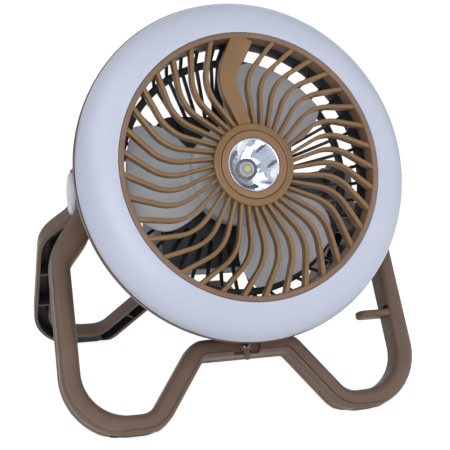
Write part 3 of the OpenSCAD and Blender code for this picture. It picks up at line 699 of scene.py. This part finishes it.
# %% Duct, cage ring and motor plate
profile = [
    (DUCT_R - 0.6, RIM_BACK), (RIM_R, RIM_BACK), (RIM_R, RING_BACK), (RIM_R + 5, RING_BACK),
    (RIM_R + 5, RING_BACK - 2), (DUCT_R, RING_BACK - 2),
]
duct = lathe("duct", profile, steps=192)
cage = ring("cage_ring", CAGE_R - CAGE_W, CAGE_R, CAGE_FRONT - 3, CAGE_FRONT, steps=160, soft=0.8)
POD_W, POD_UP, POD_DOWN, POD_CORNER = 100.0, 46.0, 60.0, 14.0


def pod_outline():
    """The pod's rounded outline."""
    x, top, bottom = POD_W / 2 - POD_CORNER, POD_UP - POD_CORNER, POD_CORNER - POD_DOWN
    line = []
    for cx, cy, first in ((x, top, 0), (-x, top, 90), (-x, bottom, 180), (x, bottom, 270)):
        line += arc(cx, cy, POD_CORNER, first, first + 90, 10)
    return line


motor_plate = plate("motor_plate", pod_outline(), POD_FRONT, PLATE_FRONT, edge=0.5)
rear_grille = joined("rear_grille_moulding", [duct, cage, spoke, motor_plate] + bars)
on_head(rear_grille, "dark_plastic", "dark", "rear_grille")

# %% [markdown]
# ## Battery pod
# The pod is a deep tray with round corners. Its open back is closed by a screwed cover with the
# two buttons, a charge light and the charging socket. Arms on its sides reach the pivots. A block
# could be hollowed out, but a wall grown inwards from the outline keeps one thickness all round.

# %% Pod shell
POD_BACK = -22.0
POD_WALL = 2.5
COVER_IN = POD_BACK + POD_WALL
tray = draw_line("pod_tray", [Vector((p.x, p.y, COVER_IN)) for p in pod_outline()])
pull(Vector((0, 0, POD_FRONT - COVER_IN)))
face_outwards()
modify(tray, "SOLIDIFY", thickness=POD_WALL * MM, offset=-1.0, use_even_offset=True)
bevel(tray, 0.5, 2, 50)
smooth(tray)

# %% Pod arms
BOLT_BORE = 4.08
ARM_R, ARM_END = 9.0, 86.2
root = POD_W / 2
arm_line = [
    (BOLT_BORE, root - 1), (12.0, root - 1), (12.0, root + 0.4), (10.2, root + 3), (9.3, root + 7),
    (ARM_R, root + 11), (ARM_R, ARM_END), (BOLT_BORE, ARM_END),
]
arms = []
for side in (1, -1):
    arm = lathe("arm", arm_line, steps=64, soft=0.6)
    arms.append(settle(arm, Matrix.Rotation(side * math.pi / 2, 4, "Y")))
pod = joined("pod_moulding", [tray] + arms)
on_head(pod, "dark_plastic", "dark", "pod_shell")

# %% Pod cover
BUTTON_X, BUTTON_Y, BUTTON_R = 11.0, 18.0, 6.0
LIGHT_Y, LIGHT_R = 4.0, 2.2
SOCKET_Y, SOCKET_W, SOCKET_H = -44.0, 9.8, 4.0
SCREW_SPOTS = [(x * (POD_W / 2 - 9), y) for x in (-1, 1) for y in (POD_UP - 9, 9 - POD_DOWN)]
cover = plate("pod_back_cover", pod_outline(), POD_BACK, COVER_IN, edge=1.2, segments=4)
low, high = POD_BACK - 1, POD_BACK + 0.7
dish_line = [(0, low), (BUTTON_R + 2.4, low), (BUTTON_R + 1.2, high), (0, high)]
for x in (-BUTTON_X, BUTTON_X):
    spot = shift(x, BUTTON_Y, 0)
    cut_away(cover, settle(disc("hole", BUTTON_R + 0.3, low, 0, steps=64), spot))
    cut_away(cover, settle(lathe("dish", dish_line, steps=64, soft=0), spot))
cut_away(cover, settle(disc("hole", LIGHT_R, low, 0), shift(0, LIGHT_Y, 0)))
for x, y in SCREW_SPOTS:
    cut_away(cover, settle(disc("seat", 3.3, low, POD_BACK + 1.4), shift(x, y, 0)))
slot_line = soften(rectangle(-SOCKET_W / 2, -SOCKET_H / 2, SOCKET_W / 2, SOCKET_H / 2), 1.6, 5)
cut_away(cover, settle(plate("slot", slot_line, low, 0, edge=0), shift(0, SOCKET_Y, 0)))
smooth(cover)
on_head(cover, "dark_plastic", "dark", "pod_cover")

# %% [markdown]
# ## What sits in the cover
# Each button is a round cap with a collar behind the cover and a stem that reaches its switch. The
# charge light is a short pipe in front of its lamp. They could be joined from cylinders, but one
# turned profile gives collar, stem and rounded edge at once. The screws are turned too, and get
# their cross by two cuts.

# %% Buttons
button_line = [
    (0, POD_BACK - 0.9), (BUTTON_R - 2.2, POD_BACK - 1.2), (BUTTON_R, POD_BACK - 1.4),
    (BUTTON_R, COVER_IN + 0.3), (BUTTON_R + 1.2, COVER_IN + 0.3), (BUTTON_R + 1.2, COVER_IN + 1.3),
    (2.0, COVER_IN + 1.3), (2.0, COVER_IN + 4.5), (0, COVER_IN + 4.5),
]
for x, use in ((-BUTTON_X, "fan"), (BUTTON_X, "light")):
    cap = lathe(f"button_{use}_cap", button_line, steps=64, soft=0.5, keep=(0, 8))
    settle(cap, shift(x, BUTTON_Y, 0))
    dress(settle(cap, HEAD), "button_plastic", f"{use}_button", "button", f"button_{use}")

# %% Charge light
light_line = [
    (0, POD_BACK), (1.6, POD_BACK + 0.05), (LIGHT_R, POD_BACK + 0.5), (LIGHT_R, COVER_IN),
    (1.8, COVER_IN), (1.8, COVER_IN + 6), (0, COVER_IN + 6),
]
lamp = lathe("charge_light", light_line, steps=40, soft=0.3, keep=(0, 6))
settle(lamp, shift(0, LIGHT_Y, 0))
on_head(lamp, "lamp_green", "indicator", "charge_indicator")

# %% Cover screws
def screw(name, radius, top, depth):
    """A screw's head seen from +Z, with a cross recess."""
    low, wide, slim = top - depth, radius * 0.62, radius * 0.16
    line = [(0, top), (radius * 0.55, top), (radius, top - depth * 0.45), (radius, low), (0, low)]
    head = lathe(name, line, steps=40, soft=0.3, keep=(0, 4))
    for angle in (0, 90):
        cutter = plate("cutter", rectangle(-wide, -slim, wide, slim), top - depth * 0.5, top + 1, edge=0)
        cut_away(head, settle(cutter, spin_z(angle)))
    smooth(head)
    return head


FLIP = Matrix.Rotation(math.pi, 4, "X")
screws = [settle(screw("screw", 2.4, -POD_BACK - 0.3, 1.2), shift(*spot, 0) @ FLIP) for spot in SCREW_SPOTS]
on_head(joined("cover_screws", screws), "steel", "steel")

# %% [markdown]
# ## Folding frames
# Each frame is one moulded channel that runs from lug to lug. A curve with a bevel profile could
# draw it, but its bends would pinch the section. So half of it is made as a moulder would draw it:
# one section is drawn at the middle of the cross bar, extruded along the straights and spun round
# the bends, and the other half is its mirror image. A small step runs along the outer side of the
# section, and a groove is cut along the bar, the rises and the toes.

# %% Frame sizes
RAIL_W, RAIL_D, RAIL_WALL = 13.5, 14.8, 2.4
RAIL_IN = 0.15
RAIL_OUT = RAIL_IN + RAIL_D
# The centre line from the middle of the bar to the shoulder, and the radii of its bends.
CORNERS = [Vector(p) for p in ((0, -120), (32.3, -120), (65, -164), (117, -163.2), (117, -58))]
BENDS = (10.0, 20.0, 36.0)
FRONT_LUG, REAR_LUG = (93.3, 103.0), (86.5, 92.0)
FRONT_LUG_R, REAR_LUG_R = 17.5, 14.0
PAD_X, PAD_L, PAD_T, PLASTIC_GAP = 82.5, 25.0, 4.0, 0.5
LEG_X, NECK_Y = CORNERS[-1]
BAR_Y = CORNERS[0].y
FAR = 150.0
HOOK_L, HOOK_D, HOOK_T, HOOK_DROP = 23.0, 10.5, 5.0, 107.6
HOOK_N = RAIL_OUT - 0.6 - HOOK_D / 2
CAP_FLAT_R = 14.7
LATCH_L, LATCH_W, LATCH_T = 10.0, 8.0, 1.6
LATCH_FLOOR = RAIL_OUT - 2.6
BOSS_W, BOSS_H = 24.0, 11.2
# Each web's straight of the centre line, and its share of the way along it.
WEBS = ((0, 0.62), (1, 0.42), (3, 0.44), (3, 0.77))
# A web's thickness, and the depth of its edge at the channel's open side, which keeps the frame's colour as
# where light falls; the rest of each web is painted dark as shade.
WEB_T, WEB_LIT_EDGE = 1.2, 0.8

# %% The rail's section
STEP_OUT, STEP_UP, ROUND_OUT, ROUND_IN = 0.5, 3.6, 3.4, 5.4
half_w, half_in = RAIL_W / 2, RAIL_W / 2 - RAIL_WALL
RAIL_FLOOR = RAIL_OUT - RAIL_WALL
outer_line = [Vector(p) for p in (
    (-half_w, RAIL_IN), (-half_w, RAIL_IN + STEP_UP - 0.5),
    (0.2 - half_w, RAIL_IN + STEP_UP), (STEP_OUT - half_w, RAIL_IN + STEP_UP + 0.1),
)]
outer_line += arc(STEP_OUT - half_w + ROUND_OUT, RAIL_OUT - ROUND_OUT, ROUND_OUT, 180, 92)
outer_line += arc(half_w - ROUND_IN, RAIL_OUT - ROUND_IN, ROUND_IN, 88, 0, 9)
outer_line.append(Vector((half_w, RAIL_IN)))


def channel(low):
    """The inside of the channel, open at low."""
    half = [(half_in, low), (half_in, RAIL_FLOOR - 1), (half_in - 1, RAIL_FLOOR)]
    return [Vector(p) for p in half] + [Vector((-x, y)) for x, y in half[::-1]]


inner_line = channel(RAIL_IN)

# %% Sweep half a rail
def bend(i):
    """Start, heading, turn and centre of bend i, and where it ends."""
    before, corner, after = CORNERS[i - 1 : i + 2]
    into, out = (corner - before).normalized(), (after - corner).normalized()
    turn, radius = -into.angle_signed(out), BENDS[i - 1]
    setback = radius * math.tan(abs(turn) / 2)
    start = corner - into * setback
    middle = start + into.orthogonal() * math.copysign(radius, turn)
    return start, into, turn, middle, corner + out * setback


def sweep_half(name, section, bends=len(BENDS)):
    """Sweeps a section of (across, away) from the middle of the bar, round the bends and straight on."""
    here = CORNERS[0]
    piece = draw_line(name, [Vector((here.x, here.y + p.x, p.y)) for p in section])
    for i in range(1, bends + 1):
        start, _, turn, middle, end = bend(i)
        pull(start - here)
        steps = max(8, round(abs(math.degrees(turn)) / 3.5))
        centre = (middle.x * MM, middle.y * MM, 0)
        bpy.ops.mesh.spin(steps=steps, angle=-turn, center=centre, axis=(0, 0, 1))
        here = end
    pull(CORNERS[bends + 1] - here)
    bpy.ops.mesh.edge_face_add()
    only(piece)
    return piece


def mirrored(piece):
    """Adds the mirror image in X, welds the seam and turns all faces outwards."""
    modify(piece, "MIRROR", merge_threshold=1e-5)
    edit(piece)
    weld()
    face_outwards()
    smooth(piece, 40)
    return piece


# %% [markdown]
# ## Necks, webs and lugs
# Above the leg the channel swings in towards its lug, wide at the shoulder and then narrow. A sweep
# keeps one width, so this part is lofted: the section is stretched between two curves, ring after
# ring, and the rings are bridged. The hollow is lofted in the same way and cut out. Thin webs and
# blocks stiffen the open channel, and a flat hook on the right leg takes cables.

# %% Bridge rings
def loft(name, rings):
    """Bridges closed rings of points one after the other and closes both ends."""
    piece = draw_line(name, rings[0])
    bpy.ops.mesh.edge_face_add()
    bpy.ops.object.mode_set(mode="OBJECT")
    count = len(piece.data.vertices)
    for points in rings[1:]:
        piece = joined(name, [piece, draw_line("ring", points)])
        first = len(piece.data.vertices) - 2 * count
        for vertex in piece.data.vertices:
            vertex.select = vertex.index >= first
        for line in piece.data.edges:
            line.select = min(line.vertices) >= first
        for face in piece.data.polygons:
            face.select = False
        bpy.ops.object.mode_set(mode="EDIT")
        bpy.ops.mesh.bridge_edge_loops()
        bpy.ops.object.mode_set(mode="OBJECT")
    edit(piece)
    bpy.ops.mesh.select_all(action="DESELECT")
    bpy.ops.mesh.select_non_manifold()
    bpy.ops.mesh.edge_face_add()
    face_outwards()
    smooth(piece, 40)
    return piece


# %% Neck from the shoulder to the lug
NECK_ROWS = 9


def bezier(a, b, c, d, t):
    """Point at t of the curve from a to d."""
    return a * (1 - t) ** 3 + b * 3 * t * (1 - t) ** 2 + c * 3 * t**2 * (1 - t) + d * t**3


def neck_edges(t, lug_in, fall):
    """Outer and inner edge of the neck at t, from the leg at 0 to the lug at 1."""
    leg_out, leg_in = LEG_X + half_w, LEG_X - half_w
    outer_way = ((leg_out, NECK_Y), (leg_out, NECK_Y + 22), (105, -fall - 9), (103.2, -fall))
    inner_way = ((leg_in, NECK_Y), (leg_in - 0.7, NECK_Y + 6), (lug_in + 2.7, -42), (lug_in, -30))
    return [bezier(*(Vector(p) for p in way), t) for way in (outer_way, inner_way)]


def neck_ring(edges, section, inset=0.0):
    """The section stretched between the two edges, pulled in by inset on both sides."""
    outer_edge, inner_edge = edges
    way = (inner_edge - outer_edge).normalized() * inset
    start, end = outer_edge + way, inner_edge - way
    reach_x = max(abs(p.x) for p in section)
    return [Vector((*start.lerp(end, (p.x + reach_x) / (2 * reach_x)), p.y)) for p in section]


def neck(lug_x, fall):
    """Carries the rail over to the lug: wide at the shoulder, with the channel open at its back."""
    lug_in, lug_out = lug_x
    rows = [neck_edges(k / NECK_ROWS, lug_in, fall) for k in range(NECK_ROWS + 1)]
    low = Vector((0, -0.4))
    first = [edge + low for edge in rows[0]]
    ends = [[Vector((lug_out, y)), Vector((lug_in, y))] for y in (2.5 - fall, -4.0)]
    piece = loft("neck", [neck_ring(row, outer_line) for row in [first] + rows[1:] + ends])
    paint(piece, "frame_plastic")
    hollow = channel(-2.0)[::-1]
    start = [edge + low * 3 for edge in rows[0]]
    walls = enumerate([start] + rows[1:NECK_ROWS])
    tool = loft("hollow", [neck_ring(row, hollow, RAIL_WALL + k * 0.33) for k, row in walls])
    paint(tool, "channel_dark")
    return cut_away(piece, tool)


# %% Toe block and webs
def bend_points(i, steps=12):
    """Points and headings round bend i."""
    start, into, turn, middle, _ = bend(i)
    points = []
    for k in range(steps + 1):
        spun = Matrix.Rotation(turn * k / steps, 2)
        points.append((middle + spun @ (start - middle), spun @ into))
    return points


def toe_block():
    """Fills the channel above a foot pad."""
    half = half_in + 0.3
    reach_x = PAD_L / 2 + 2.5
    line = [(p, way) for p, way in bend_points(2) + bend_points(3, 30) if abs(p.x - PAD_X) < reach_x]
    edges = [[p + way.orthogonal() * side * half for p, way in line] for side in (1, -1)]
    return plate("toe", edges[0] + edges[1][::-1], RAIL_IN + 0.1, RAIL_FLOOR + 0.5, edge=0)


def web(leg, share, low, high):
    """A thin wall across the channel, at a share of the way between two corners."""
    here, there = CORNERS[leg], CORNERS[leg + 1]
    middle, way = here.lerp(there, share), there - here
    half = half_in + 0.3
    piece = plate("web", rectangle(-WEB_T / 2, -half, WEB_T / 2, half), low, high, edge=0.2)
    settle(piece, spin_z(math.degrees(math.atan2(way.y, way.x))))
    return settle(piece, shift(middle.x, middle.y, 0))


# %% Lug
def lug(lug_x, radius, seat_r=0.0):
    """The round ear with the bolt's hole, and a seat for the cap where seat_r is given."""
    inside, outside = lug_x
    line = [(BOLT_BORE, inside), (radius, inside), (radius, outside)]
    if seat_r:
        line += [(seat_r, outside), (seat_r, outside - 3), (BOLT_BORE, outside - 3)]
    else:
        line.append((BOLT_BORE, outside))
    return settle(lathe("lug", line, steps=96, soft=0.9), Matrix.Rotation(math.pi / 2, 4, "Y"))


# %% Cable hook
def cable_hook():
    """A flat finger with a round tip, on the inner side of the right leg."""
    root, tip = LEG_X - half_w + 1.4, LEG_X - half_w - HOOK_L + HOOK_D / 2
    line = [Vector((root, HOOK_N - HOOK_D / 2))]
    line += arc(tip, HOOK_N, HOOK_D / 2, 270, 90, 14) + [Vector((root, HOOK_N + HOOK_D / 2))]
    finger = plate("cable_hook", line, -HOOK_T / 2, HOOK_T / 2, edge=1.4, segments=4)
    settle(finger, STAND)
    return settle(finger, shift(0, HOOK_T / 2 - HOOK_DROP, 0))


# %% [markdown]
# ## Putting a frame together
# Outside, the channel shows the skin of the mould, and inside it is almost black. It could be one
# mesh with two looks, but a thin dark lining, swept on the same path, keeps the border sharp at
# every corner. The blocks above the pads belong to it, and so do the webs' bodies, which are painted
# dark as shade; only each web's edge at the open side keeps the frame's colour, as where light falls.
# Pockets and seats are cut before the parts are joined, because a cut needs a closed, simple mesh.

# %% Cutters
def slice_off(piece, point, normal):
    """Cuts off what lies behind the plane through point, and closes the cut."""
    edit(piece)
    plane = Vector(point) * MM
    bpy.ops.mesh.bisect(plane_co=plane, plane_no=normal, use_fill=True, clear_inner=True, threshold=1e-6)
    face_outwards()
    smooth(piece, 40)
    return piece


def box_cut(piece, low, high):
    """Cuts the box between two corners out of piece."""
    line = rectangle(low[0], low[1], high[0], high[1])
    return cut_away(piece, plate("box", line, low[2], high[2], edge=0))


def pad_pocket(piece, place):
    """Cuts both pads' pockets out of a piece that still lies in the frame's own plane."""
    for side in (1, -1):
        line = rectangle(side * PAD_X - PAD_L / 2, -FAR, side * PAD_X + PAD_L / 2, FAR)
        cut_away(piece, settle(plate("pocket", line, -20, PAD_T, edge=0), place.inverted()))
    return piece


def latch_seat():
    """The half round seat in the bar's face in which the latch turns."""
    narrow, wide, level = LATCH_W / 2 + 0.3, LATCH_L + 0.3, LATCH_W / 4 + 0.3
    first, second = math.degrees(math.asin(level / narrow)), math.degrees(math.asin(level / wide))
    line = arc(0, 0, narrow, first, 180 - first, 16)
    line += arc(0, 0, wide, 180 - second, 360 + second, 40)
    return settle(plate("seat", line, LATCH_FLOOR, RAIL_OUT + 1, edge=0), shift(0, BAR_Y, 0))


def groove():
    """The line along the bar, the rise and the toe: a cutter that runs out of the heel's outer side."""
    section = [Vector(p) for p in ((-3.9, 13.9), (-3.0, 13.9), (-2.7, 17), (-4.2, 17))]
    return mirrored(sweep_half("groove", section, bends=2))


# %% The frame's shell
def front_extras(rail):
    """Cuts the slot above the hook's root and the latch's seat, and makes the hook and the boss."""
    wall_x, top = LEG_X - half_w, HOOK_T - HOOK_DROP
    box_cut(rail, (wall_x - 1, top + 0.6, HOOK_N - 4), (wall_x + 4, top + 3.2, HOOK_N + 4))
    line = rectangle(-BOSS_W / 2, BAR_Y - BOSS_H / 2, BOSS_W / 2, BAR_Y + BOSS_H / 2)
    boss = plate("boss", line, RAIL_IN + 0.1, RAIL_FLOOR + 0.5, edge=0)
    cut_away(rail, latch_seat())
    cut_away(boss, latch_seat())
    return [cable_hook(), boss]


def shell(name, lug_x, lug_r, fall, place, front):
    """The brown moulding: rail, necks, lugs and the webs' lit edges, with the front frame's hook and boss.
    """
    rail = mirrored(sweep_half("rail", outer_line + inner_line))
    pad_pocket(rail, place)
    cut_away(rail, groove())
    extras = front_extras(rail) if front else []
    sides = [lug(lug_x, lug_r, CAP_FLAT_R + 0.3 if front else 0.0)]
    # Each web's edge at the open side, in the frame's colour as the lit part; the rest of the web is
    # painted shade in the lining.
    sides += [web(*spot, RAIL_IN + 0.5, RAIL_IN + 0.5 + WEB_LIT_EDGE) for spot in WEBS]
    both = mirrored(joined("sides", sides))
    necks = mirrored(neck(lug_x, fall))
    for piece in [rail, both, *extras]:
        paint(piece, "frame_plastic")
    whole = joined(name, [rail, both, necks, *extras])
    return slice_off(settle(whole, place), (0, 0, PLASTIC_GAP), (0, 0, 1))


# %% The channel's dark lining
def lining(name, place, front):
    """The dark inside of the channel, with the blocks above the pads and the webs' bodies, painted dark as
    shade.
    """
    skin = [Vector((p.x * 0.985, p.y + 0.02)) for p in inner_line[::-1]]
    thin = [Vector((p.x * 0.92, p.y - 0.35)) if p.y > 1 else Vector((p.x * 0.92, p.y)) for p in inner_line]
    for line in (skin, thin):
        line[0].y = line[-1].y = RAIL_IN + 0.5
    liner = mirrored(sweep_half("liner", skin + thin))
    if front:
        half = BOSS_W / 2 + 0.1
        box_cut(liner, (-half, BAR_Y - 8, -1), (half, BAR_Y + 8, 20))
    pad_pocket(liner, place)
    # The webs' bodies behind their lit edges, coloured dark as painted shade.
    low, high = RAIL_IN + 0.4 + WEB_LIT_EDGE, RAIL_FLOOR + 0.3
    inside = [pad_pocket(toe_block(), place)] + [web(*spot, low, high) for spot in WEBS]
    liner = joined(name, [liner, mirrored(joined("inside", inside))])
    return slice_off(settle(liner, place), (0, 0, PLASTIC_GAP), (0, 0, 1))


# %% Both frames
for end, lug_x, lug_r, fall, place in (
    ("front", FRONT_LUG, FRONT_LUG_R, 15.0, FRONT),
    ("rear", REAR_LUG, REAR_LUG_R, 20.5, REAR),
):
    front = end == "front"
    body = f"{end}_frame"
    dress(shell(f"{end}_rail", lug_x, lug_r, fall, place, front), None, body, "frame", body)
    dress(lining(f"{end}_rail_liner", place, front), "channel_dark", body, "frame")

# %% [markdown]
# ## Foot pads
# Each toe stands on a rubber pad that lies flush in its skin. A block would stick out of the round
# toe, so the rail's section is swept once more without its channel, and planes cut from it what
# fills the pocket down to the ground.

# %% Foot pads
for end, place in (("front", FRONT), ("rear", REAR)):
    for side, label in ((-1, "left"), (1, "right")):
        node_name = f"pad_{end}_{label}"
        pad = sweep_half(f"foot_{node_name}", outer_line)
        if side * place[0][0] < 0:
            settle(pad, Matrix.Scale(-1, 4, (1, 0, 0)))
        settle(pad, place)
        slice_off(pad, (0, 0, 0), (0, 0, 1))
        slice_off(pad, (0, 0, PAD_T), (0, 0, -1))
        for way in (1, -1):
            slice_off(pad, (side * PAD_X - way * PAD_L / 2, 0, 0), (way, 0, 0))
        bevel(pad, 0.35, 2, 40)
        smooth(pad, 40)
        dress(pad, "pad_rubber", f"{end}_frame", "pad", node_name)

# %% [markdown]
# ## Pivot caps
# A flat silver cap with a rounded edge is pressed into each front lug and hides the bolt. A scaled
# ball would have no flat face and no straight skirt, so it is turned on the lathe.

# %% Silver caps
CAP_BACK, CAP_OUT = FRONT_LUG[1] - 2.9, FRONT_LUG[1] + 2.4
CAP_RISE, CAP_EDGE = 0.5, 1.3
skirt = CAP_OUT - CAP_RISE
edge = arc(CAP_FLAT_R - CAP_EDGE, skirt - CAP_EDGE, CAP_EDGE, 0, 80)
ways = [math.pi / 2 * k / 8 for k in range(8)]
dome = [(CAP_FLAT_R * 0.9 * math.cos(way), skirt + CAP_RISE * math.sin(way)) for way in ways]
profile = [(0, CAP_BACK), (CAP_FLAT_R, CAP_BACK), *edge, *dome, (0, CAP_OUT)]
for side, label in ((1, "right"), (-1, "left")):
    cap = lathe(f"pivot_cap_{label}", profile, steps=128, soft=0)
    settle(cap, Matrix.Rotation(side * math.pi / 2, 4, "Y"))
    dress(settle(cap, PIVOT), "cap_plastic", "front_frame", "cap", f"cap_{label}")

# %% [markdown]
# ## Latch
# A small tab turns on its dark screw in a shallow seat on the cross bar. Its outline is a disc with
# a parallel finger, so it stays clear of the seat's wall at every angle. A bar and a cylinder could
# be joined, but one outline cut from a plate has no seam.

# %% Latch tab
LATCH_Z = LATCH_FLOOR + 0.3
line = arc(0, 0, LATCH_W / 2, -60, 240, 28)
line += arc(0, LATCH_W / 4 - LATCH_L, LATCH_W / 4, 180, 360, 12)
tab = plate("latch", line, LATCH_Z, LATCH_Z + LATCH_T, edge=0.5, segments=3)
cut_away(tab, disc("bore", 1.58, 0, 20, steps=32))
smooth(tab)
settle(tab, shift(0, BAR_Y, 0))
dress(settle(tab, FRONT), "frame_plastic", "latch", "frame", "latch_tab")

# %% Latch screw
screw_top = LATCH_Z + LATCH_T + 1.3
latch_screw = screw("latch_screw_head", 2.8, screw_top, 1.0)
shank = disc("shank", 1.5, LATCH_FLOOR - 6, screw_top - 0.8, steps=32, soft=0.2)
latch_screw = joined("latch_screw_head", [latch_screw, shank])
settle(latch_screw, shift(0, BAR_Y, 0))
dress(settle(latch_screw, FRONT), "black_nickel", "front_frame", "steel", "latch_screw")

# %% [markdown]
# ## The CAD's own pieces
# Bolts, washers, cells and boards lie deep inside. They could be modelled again, but hardly any of
# it shows, so they keep the CAD's shape and only get their looks.

# %% Finishes for the CAD's own pieces
for node_name, look in {
    "bolt_left": "steel", "bolt_right": "steel", "motor_shaft": "steel", "charging_socket": "steel",
    "washer_left": "pad_rubber", "washer_right": "pad_rubber", "ring_board": "board_white",
    "spot_cup": "grille_plastic", "motor_can": "dark_plastic", "battery_cells": "cell_sleeve",
    "control_board": "board_green",
}.items():
    paint(frame["nodes"][node_name], look)
    print(node_name, look)

# %% [markdown]
# ## Studio
# A pale floor and a white tent. What the camera or a lens sees of the tent is pure white, while
# the light that it sheds on the fan is softer. The floor is lifted in the same way, so that it
# runs into the tent without a horizon and still takes the fan's shadow. A mirror sees the tent
# with dark gaps, as between the cloths of a studio. Without them the bowl would look flat.

# %% Floor
def strength_of(tree, hidden, seen):
    """Strength seen where the camera looks, directly or by a mirror or a lens, and hidden elsewhere."""
    path = tree.nodes.new("ShaderNodeLightPath")
    total = path.outputs["Is Camera Ray"]
    for kind in ("Is Glossy Ray", "Is Transmission Ray"):
        add = tree.nodes.new("ShaderNodeMath")
        add.operation = "ADD"
        add.use_clamp = True
        tree.links.new(total, add.inputs[0])
        tree.links.new(path.outputs[kind], add.inputs[1])
        total = add.outputs[0]
    node = fill(tree.nodes.new("ShaderNodeMapRange"), {"To Min": hidden, "To Max": seen})
    tree.links.new(total, node.inputs["Value"])
    return node.outputs["Result"]


only()
bpy.ops.mesh.primitive_plane_add(size=12, location=(0, 0, 0))
floor = bpy.context.object
floor.name = "floor"
tree, shader, _ = new_material("floor_paint")
fill(shader, {"Base Color": (0.86, 0.86, 0.87, 1), "Roughness": 0.9, "Emission Color": (1, 1, 1, 1)})
tree.links.new(strength_of(tree, 0.0, 0.75), shader.inputs["Emission Strength"])
paint(floor, "floor_paint")

# %% Tent
world = bpy.data.worlds.new("studio")
bpy.context.scene.world = world
world.use_nodes = True
tree = world.node_tree
background = tree.nodes["Background"]
tree.links.new(strength_of(tree, 0.3, 1.05), background.inputs["Strength"])
way = tree.nodes.new("ShaderNodeTexCoord").outputs["Generated"]
cloths = noise(tree, way, 1.7, 1.0)
gaps = ramp(tree, cloths, (0.42, (0.09, 0.11, 0.09, 1)), (0.45, (0.9, 0.92, 1, 1)))
mix = tree.nodes.new("ShaderNodeMix")
mix.data_type = "RGBA"
mix.inputs["A"].default_value = (1, 1, 1, 1)
in_mirror = tree.nodes.new("ShaderNodeLightPath").outputs["Is Glossy Ray"]
tree.links.new(in_mirror, mix.inputs["Factor"])
tree.links.new(gaps, mix.inputs["B"])
tree.links.new(mix.outputs["Result"], background.inputs["Color"])

# %% Lamps
def lamp_panel(name, where_mm, size, watts):
    """A square lamp that faces the fan's middle."""
    data = bpy.data.lights.new(name, "AREA")
    data.shape = "SQUARE"
    data.size = size
    data.energy = watts
    lamp = bpy.data.objects.new(name, data)
    bpy.context.scene.collection.objects.link(lamp)
    lamp.location = Vector(where_mm) * MM
    aim = Vector((0, 0, PIVOT_Z)) - lamp.location
    lamp.rotation_euler = aim.to_track_quat("-Z", "Y").to_euler()


lamp_panel("key", (-700, -900, 1100), 0.8, 4.6)
lamp_panel("front", (-300, -1100, 420), 0.5, 4.3)
lamp_panel("fill", (900, -600, 500), 0.9, 3)
bpy.context.scene.view_settings.view_transform = "Standard"
